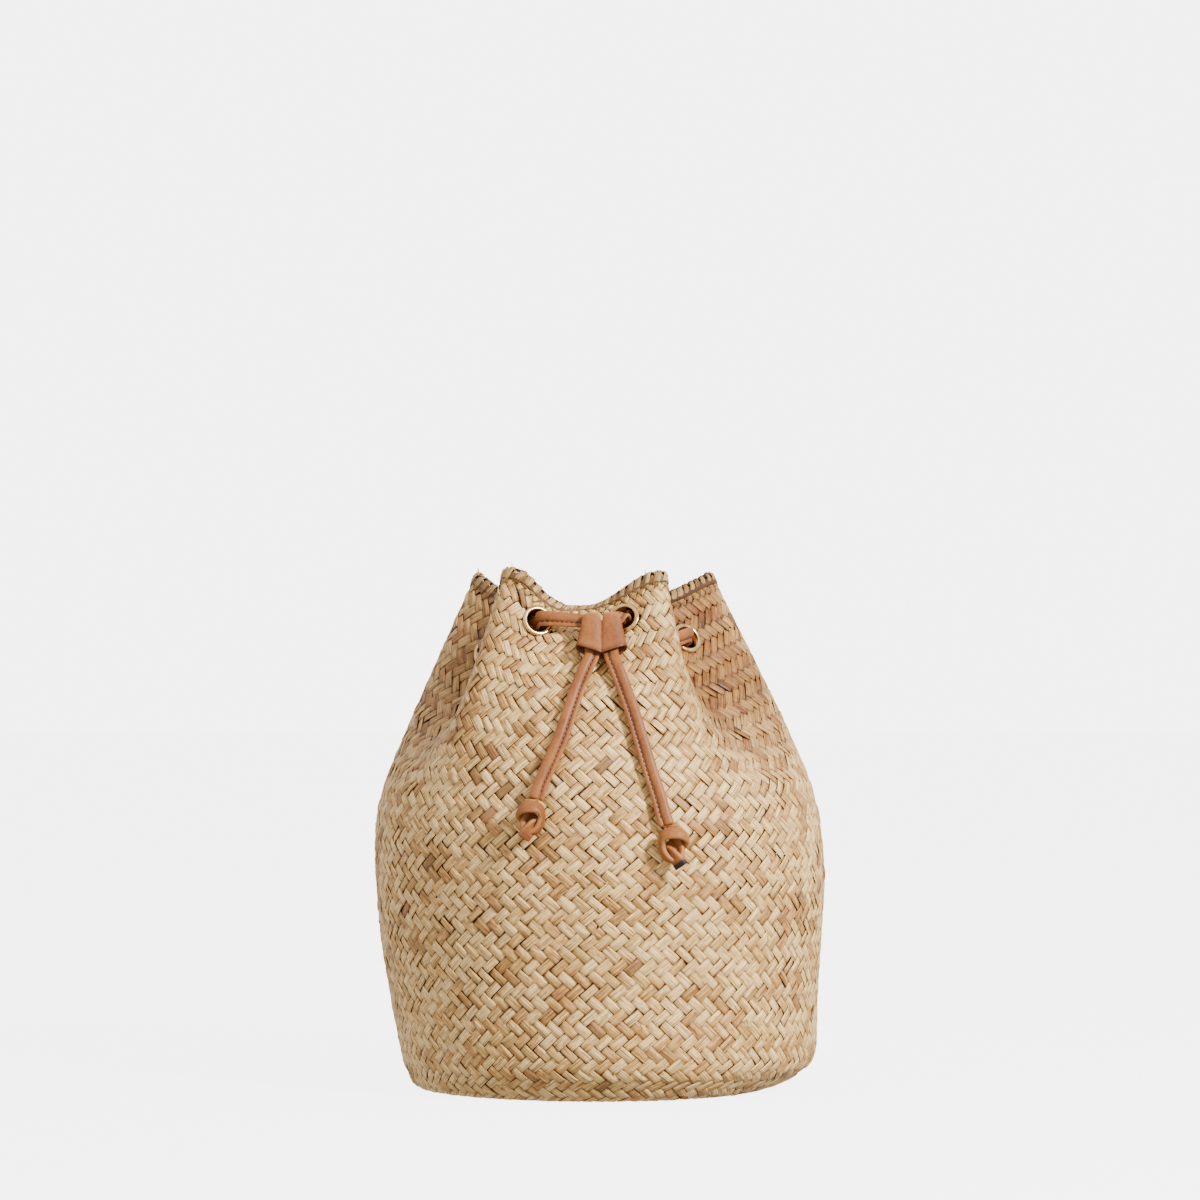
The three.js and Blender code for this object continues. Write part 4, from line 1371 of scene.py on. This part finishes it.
def strap_stops(side):
    """The stops of a strap from its upper end to its foot, with the direction of its width."""
    seat = STRAP_THICKNESS / 2 + 0.6 * MM
    stops = []
    for turn, height, below in (STRAP_STITCHED, STRAP_FOOT):
        stops.append(on_back(turn, height, seat + STRAP_LIFT, side))
        stops.append(on_back(turn, height - below, seat, side))
    free = [np.array((x * side, y, z)) * BAG_HEIGHT + SHIFT for x, y, z in STRAP_FREE]
    stops = stops[:2] + free + stops[2:]
    way_down = np.maximum(0, (np.arange(len(stops)) - 2) / (len(stops) - 3))
    swings = math.radians(STRAP_FOOT[0]) * side * way_down
    return stops, np.stack([np.cos(swings), -np.sin(swings), np.zeros(len(stops))], axis=-1)


def cross_rows(run, middle, side, out, place):
    """A row of stitches across a band at one place, on its outer face."""
    here, across, outward = (at_run(run, rows, np.array([place]))[0] for rows in (middle, side, out))
    line = here + across * np.linspace(-CROSS_HALF, CROSS_HALF, 16)[:, None]
    along = np.broadcast_to(unit(np.cross(across, outward)), line.shape)
    outwards = np.broadcast_to(outward, line.shape)
    return bows(run_along(line), line, along, outwards, 0.0, CROSS_STITCH)


def shoulder_strap(name, side):
    """A strap and its stitches."""
    stops, widths = strap_stops(side)
    made, run, middle, sideways, out = band_piece(
        name,
        stops,
        widths,
        STRAP_SECTION,
        STRAP_WIDTH / 2,
        STRAP_THICKNESS / 2,
        1.2 * MM,
        ends=9 * MM,
        edge=0.9,
        groove=STRAP_SEAM / (STRAP_WIDTH / 2),
    )
    rows = []
    for aside in (-STRAP_SEAM, STRAP_SEAM):
        for face in (1, -1):
            rows += bows(run, middle, sideways, out * face, aside, STRAP_STITCH)
    for place in (*CROSS_ROWS, *[run[-1] - inset for inset in CROSS_ROWS]):
        rows += cross_rows(run, middle, sideways, out, place)
    return made, rows, run[-1]


for name, side in (("strap_left", -1), ("strap_right", 1)):
    made, rows, length = shoulder_strap(f"leather_{name}", side)
    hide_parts(name)
    leather_pieces.append(made)
    thread_tubes[f"thread_{name}"] = rows
    print(name, "is", round(length * 1000), "mm long")

thread_pieces = [swept_mesh(name, tubes) for name, tubes in thread_tubes.items()]
for piece in [*leather_pieces, *thread_pieces]:
    if piece.name not in TIED_PIECES:
        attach(piece, "root")
print("stitches:", sum(len(tubes) for tubes in thread_tubes.values()))

# %% [markdown]
# ## Shader helpers and shared effects
# A material is a small tree of nodes. The helpers below place a node and link it in one line. An effect
# that several finishes need, such as slow drifts of tone or the grain of leather, is a node group: it is
# built once, has named inputs, and each material places it with its own values.

# %% Node helpers
def srgb(red, green, blue):
    """A colour as read from a picture, 0 to 255, made linear."""
    shares = np.array([red, green, blue]) / 255
    linear = np.where(shares <= 0.04045, shares / 12.92, ((shares + 0.055) / 1.055) ** 2.4)
    return (*linear.tolist(), 1.0)


def node(tree, kind, **settings):
    """A shader node. Settings that start with in_ are its inputs, and the others are its properties."""
    made = tree.nodes.new(kind)
    for key, value in settings.items():
        if not key.startswith("in_"):
            setattr(made, key, value)
        elif isinstance(value, bpy.types.NodeSocket):
            tree.links.new(value, made.inputs[key[3:].replace("_", " ")])
        else:
            made.inputs[key[3:].replace("_", " ")].default_value = value
    return made


def plug(tree, socket, value):
    """Puts a number, a colour or another node's output into an input."""
    if isinstance(value, bpy.types.NodeSocket):
        tree.links.new(value, socket)
    elif value is not None:
        socket.default_value = value


def calculate(tree, operation, first, second=None, clamp=False):
    """A Math node on outputs or numbers."""
    made = node(tree, "ShaderNodeMath", operation=operation, use_clamp=clamp)
    plug(tree, made.inputs[0], first)
    plug(tree, made.inputs[1], second)
    return made.outputs[0]


def mix_colour(tree, share, first, second, blend="MIX"):
    """Mixes two colours."""
    made = node(tree, "ShaderNodeMix", data_type="RGBA", blend_type=blend)
    plug(tree, made.inputs[0], share)
    plug(tree, made.inputs[6], first)
    plug(tree, made.inputs[7], second)
    return made.outputs[2]


def ramp(tree, factor, stops):
    """A colour ramp with these stops."""
    made = node(tree, "ShaderNodeValToRGB", in_Fac=factor)
    elements = made.color_ramp.elements
    while len(elements) < len(stops):
        elements.new(0.5)
    for element, (place, colour) in zip(elements, stops):
        element.position = place
        element.color = colour
    return made.outputs["Color"]


def value_of(tree, name):
    """A value that the mesh carries at its points."""
    return node(tree, "ShaderNodeAttribute", attribute_name=name).outputs["Fac"]


# %% Shared effects
def new_effect(name, inputs, outputs):
    """An empty node group with float inputs, each a name and a value, a Place vector and float outputs."""
    group = bpy.data.node_groups.new(name, "ShaderNodeTree")
    group.interface.new_socket(name="Place", in_out="INPUT", socket_type="NodeSocketVector")
    for label, value in inputs:
        socket = group.interface.new_socket(name=label, in_out="INPUT", socket_type="NodeSocketFloat")
        socket.default_value = value
    for label in outputs:
        group.interface.new_socket(name=label, in_out="OUTPUT", socket_type="NodeSocketFloat")
    return group, node(group, "NodeGroupInput").outputs, node(group, "NodeGroupOutput").inputs


def drift_effect():
    """Slow drifts of tone: large soft patches with smaller ones over them."""
    group, given, result = new_effect("tone_drift", (("Patch Scale", 30), ("Speck Scale", 300)), ("Tone",))
    patches = node(group, "ShaderNodeTexNoise", in_Vector=given["Place"], in_Scale=given["Patch Scale"])
    patches.inputs["Detail"].default_value = 2
    specks = node(group, "ShaderNodeTexNoise", in_Vector=given["Place"], in_Scale=given["Speck Scale"])
    small = calculate(group, "MULTIPLY", specks.outputs["Fac"], 0.35)
    large = calculate(group, "MULTIPLY", patches.outputs["Fac"], 0.65)
    group.links.new(calculate(group, "ADD", small, large), result["Tone"])
    return group


def grain_effect():
    """The pores of smooth leather: small cells with fine creases, as a height."""
    group, given, result = new_effect("leather_grain", (("Pore Scale", 1400),), ("Height",))
    pores = node(group, "ShaderNodeTexVoronoi", in_Vector=given["Place"], in_Scale=given["Pore Scale"])
    crease_scale = calculate(group, "MULTIPLY", given["Pore Scale"], 0.35)
    creases = node(group, "ShaderNodeTexNoise", in_Vector=given["Place"], in_Scale=crease_scale)
    creases.inputs["Detail"].default_value = 3
    pore = calculate(group, "MULTIPLY", pores.outputs["Distance"], 0.5)
    group.links.new(calculate(group, "ADD", pore, creases.outputs["Fac"]), result["Height"])
    return group


tone_drift = drift_effect()
leather_grain = grain_effect()


def new_material(name, roughness, metallic=0.0, specular=0.5):
    """A node material with its tree, its Principled shader and the place on the object."""
    material = bpy.data.materials.new(name)
    material.use_nodes = True
    tree = material.node_tree
    shader = tree.nodes["Principled BSDF"]
    shader.inputs["Roughness"].default_value = roughness
    shader.inputs["Metallic"].default_value = metallic
    shader.inputs["Specular IOR Level"].default_value = specular
    return material, tree, shader, node(tree, "ShaderNodeTexCoord").outputs["Object"]


def effect(tree, group, place, **values):
    """Places a shared effect in a tree and returns its outputs."""
    made = node(tree, "ShaderNodeGroup", node_tree=group)
    tree.links.new(place, made.inputs["Place"])
    for key, value in values.items():
        made.inputs[key.replace("_", " ")].default_value = value
    return made.outputs


# %% [markdown]
# ## The straw finish
# Dried straw is pale and satin, with fine fibres along each strand. No two strands have one tone: some are
# cream, some tan, pink or green, and a few are dark. A ramp holds these tones, and the strand's and the
# float's own values pick a place on it. The strand's flat places, across and along in metres, stretch the
# fibre noise along the strand, so it follows every fold. Where a strand dips below another it is painted
# darker, as painted shade between the strands. The flanks of the valleys get painted shade too, browner
# and warmer, as shade with warm bounced light.

# %% Straw material
STRAW_TONES = (
    (0.0, srgb(138, 102, 62)),
    (0.08, srgb(156, 116, 68)),
    (0.2, srgb(176, 130, 72)),
    (0.34, srgb(204, 156, 90)),
    (0.45, srgb(232, 190, 120)),
    (0.57, srgb(246, 212, 146)),
    (0.68, srgb(214, 170, 104)),
    (0.77, srgb(200, 168, 96)),
    (0.86, srgb(202, 146, 90)),
    (0.94, srgb(180, 126, 70)),
    (1.0, srgb(156, 112, 66)),
)


def straw_material():
    """Straw with fine fibres along it, a tone for each strand and float, painted shade where it dips and
    painted shade in the valleys' flanks.
    """
    material, tree, shader, _ = new_material("straw", 0.5, specular=0.28)
    link = tree.links.new
    flat = node(tree, "ShaderNodeUVMap", uv_map="UVMap").outputs["UV"]
    fibre_place = node(tree, "ShaderNodeMapping", in_Vector=flat, in_Scale=(1500, 45, 1))
    fibres = node(tree, "ShaderNodeTexNoise", noise_dimensions="2D", in_Vector=fibre_place.outputs[0])
    fibres.inputs["Scale"].default_value = 1
    fibres.inputs["Detail"].default_value = 3
    stain_place = node(tree, "ShaderNodeMapping", in_Vector=flat, in_Scale=(330, 70, 1))
    stain = effect(tree, tone_drift, stain_place.outputs[0], Patch_Scale=1, Speck_Scale=4)
    tone = calculate(tree, "MULTIPLY", value_of(tree, "strand_tone"), 0.36)
    tone = calculate(tree, "ADD", tone, calculate(tree, "MULTIPLY", value_of(tree, "float_tone"), 0.7))
    drift = calculate(tree, "MULTIPLY", calculate(tree, "SUBTRACT", stain["Tone"], 0.5), 1.1)
    tone = calculate(tree, "ADD", tone, drift, clamp=True)
    colour = ramp(tree, tone, STRAW_TONES)
    lines = ramp(tree, fibres.outputs["Fac"], ((0.33, srgb(142, 106, 66)), (0.57, srgb(255, 255, 255))))
    colour = mix_colour(tree, 0.8, colour, lines, "MULTIPLY")
    # Painted shade in the valleys' flanks: a browner, warmer colour, as shade with warm bounced light.
    sheltered = mix_colour(tree, 1.0, colour, srgb(150, 115, 64), "MULTIPLY")
    shade = calculate(tree, "MULTIPLY", value_of(tree, "shade"), 0.9, True)
    colour = mix_colour(tree, shade, colour, sheltered)
    # Painted shade where a strand dips under another: the lower it lies, the closer to a dark brown.
    dip_shade = calculate(tree, "SUBTRACT", 0.9, value_of(tree, "dip"))
    dip_shade = calculate(tree, "MULTIPLY", dip_shade, 1.2, True)
    dark = mix_colour(tree, 1.0, colour, srgb(78, 46, 20), "MULTIPLY")
    link(mix_colour(tree, dip_shade, colour, dark), shader.inputs["Base Color"])
    rough = calculate(tree, "MULTIPLY", fibres.outputs["Fac"], 0.35)
    link(calculate(tree, "ADD", rough, 0.32), shader.inputs["Roughness"])
    relief = fibres.outputs["Fac"]
    bump = node(tree, "ShaderNodeBump", in_Strength=0.6, in_Distance=0.00025, in_Height=relief)
    link(bump.outputs[0], shader.inputs["Normal"])
    return material


straw = straw_material()
for piece in [*straw_pieces, base, *rim_pieces]:
    piece.data.materials.append(straw)
print("straw finish on", 5 + len(rim_pieces), "pieces")

# %% [markdown]
# ## Leather, thread and brass
# The leather is smooth and tan, with pores, soft patches of tone, lighter edges where it is rubbed and a
# darker seam. The strap leather is the same with larger pores. The thread is waxed and darker than the
# leather. The brass is polished, and only its slow drift of tone and roughness keeps it from looking like
# a mirror.

# %% Leather, thread and brass materials
def leather_material(name, light, dark, pore_scale):
    """Tan leather between two tones, with pores, rubbed edges and a dark seam. On a slider the seam and cut
    values also paint shade along its lower edge.
    """
    material, tree, shader, place = new_material(name, 0.45, specular=0.25)
    link = tree.links.new
    tone = effect(tree, tone_drift, place, Patch_Scale=45, Speck_Scale=420)["Tone"]
    height = effect(tree, leather_grain, place, Pore_Scale=pore_scale)["Height"]
    colour = ramp(tree, tone, ((0.36, dark), (0.62, light)))
    pores = ramp(tree, height, ((0.45, srgb(214, 196, 184)), (0.75, srgb(255, 255, 255))))
    colour = mix_colour(tree, 0.5, colour, pores, "MULTIPLY")
    rubbed = calculate(tree, "MULTIPLY", value_of(tree, "rubbed"), 0.6, True)
    colour = mix_colour(tree, rubbed, colour, mix_colour(tree, 0.4, light, srgb(208, 150, 92)))
    # The seam and cut values also carry the painted shade along a slider's lower edge.
    seam = calculate(tree, "MULTIPLY", value_of(tree, "seam"), 0.45, True)
    colour = mix_colour(tree, seam, colour, mix_colour(tree, 1.0, colour, srgb(120, 84, 66), "MULTIPLY"))
    link(mix_colour(tree, value_of(tree, "cut"), colour, srgb(38, 26, 20)), shader.inputs["Base Color"])
    link(calculate(tree, "ADD", calculate(tree, "MULTIPLY", tone, 0.3), 0.32), shader.inputs["Roughness"])
    bump = node(tree, "ShaderNodeBump", in_Strength=0.35, in_Distance=0.0002, in_Height=height)
    link(bump.outputs[0], shader.inputs["Normal"])
    return material


def thread_material():
    """Waxed brown thread."""
    material, tree, shader, place = new_material("thread", 0.6, specular=0.3)
    tone = effect(tree, tone_drift, place, Patch_Scale=90, Speck_Scale=2400)["Tone"]
    colour = ramp(tree, tone, ((0.35, srgb(52, 30, 20)), (0.65, srgb(96, 60, 40))))
    tree.links.new(colour, shader.inputs["Base Color"])
    return material


def brass_material():
    """Polished brass with a slow drift of tone."""
    material, tree, shader, place = new_material("brass", 0.22, metallic=1.0)
    tone = effect(tree, tone_drift, place, Patch_Scale=160, Speck_Scale=900)["Tone"]
    colour = ramp(tree, tone, ((0.35, srgb(184, 140, 84)), (0.62, srgb(224, 186, 130))))
    tree.links.new(colour, shader.inputs["Base Color"])
    rough = calculate(tree, "ADD", calculate(tree, "MULTIPLY", tone, 0.3), 0.08)
    tree.links.new(rough, shader.inputs["Roughness"])
    return material


cord_leather = leather_material("cord_leather", srgb(146, 88, 42), srgb(118, 66, 32), 1500)
strap_leather = leather_material("strap_leather", srgb(144, 86, 42), srgb(114, 64, 31), 1000)
thread = thread_material()
brass = brass_material()
for piece in leather_pieces:
    piece.data.materials.append(strap_leather if "strap" in piece.name else cord_leather)
for piece in thread_pieces:
    piece.data.materials.append(thread)
for piece in eyelet_pieces:
    piece.data.materials.append(brass)
print("leather on", len(leather_pieces), "pieces, thread on", len(thread_pieces))

# %% [markdown]
# ## Floor, backdrop and light
# The catalogue picture has one even, pale grey all round and hardly a shadow. A large floor and a dome
# glow a little with the same grey, so no line shows between them from any side. They are left out of the
# light that falls on the bag, which comes from a soft sky that is brighter above and one lamp, 0.3 m wide,
# in front on the right.

# %% Stage
def glowing_material(name, glow, diffuse):
    """A surface that glows evenly by itself."""
    material, tree, shader, _ = new_material(name, 0.9, specular=0.0)
    shader.inputs["Base Color"].default_value = (diffuse, diffuse, diffuse, 1)
    shader.inputs["Emission Color"].default_value = (1, 1, 0.995, 1)
    shader.inputs["Emission Strength"].default_value = glow
    return material


bpy.ops.mesh.primitive_circle_add(vertices=96, radius=9, fill_type="NGON", location=(0, 0, 0))
floor = bpy.context.active_object
floor.name = "floor"
floor.data.materials.append(glowing_material("floor", 5.0, 0.25))
bpy.ops.mesh.primitive_uv_sphere_add(segments=64, ring_count=32, radius=9, location=(0, 0, 0))
dome = bpy.context.active_object
dome.name = "dome"
dome.data.materials.append(glowing_material("dome", 5.6, 0.0))
for stage_piece in (floor, dome):
    stage_piece.visible_diffuse = False
    stage_piece.visible_glossy = False
    stage_piece.visible_transmission = False
    stage_piece.visible_shadow = False

world = bpy.data.worlds.new("studio")
bpy.context.scene.world = world
world.use_nodes = True
sky = world.node_tree
height = node(sky, "ShaderNodeSeparateXYZ", in_Vector=node(sky, "ShaderNodeTexCoord").outputs["Generated"])
level = calculate(sky, "ADD", calculate(sky, "MULTIPLY", height.outputs["Z"], 0.5), 0.5)
SKY_TONES = ((0.0, (0.62, 0.58, 0.54, 1)), (0.5, (1.08, 1.05, 1.01, 1)), (1.0, (1.7, 1.7, 1.7, 1)))
glow = ramp(sky, level, SKY_TONES)
sky.links.new(glow, sky.nodes["Background"].inputs["Color"])
sky.nodes["Background"].inputs["Strength"].default_value = 1.0


def area_light(name, place, target, size, power):
    """A square lamp at a place, turned to its target."""
    light = bpy.data.lights.new(name, "AREA")
    light.size = size
    light.energy = power
    lamp = add_object(name, light)
    lamp.location = place
    lamp.rotation_euler = (Vector(target) - Vector(place)).to_track_quat("-Z", "Y").to_euler()


area_light("key", (1.4, -1.5, 1.35), (0, 0, 0.16), 0.3, 118)
print("stage and light set")
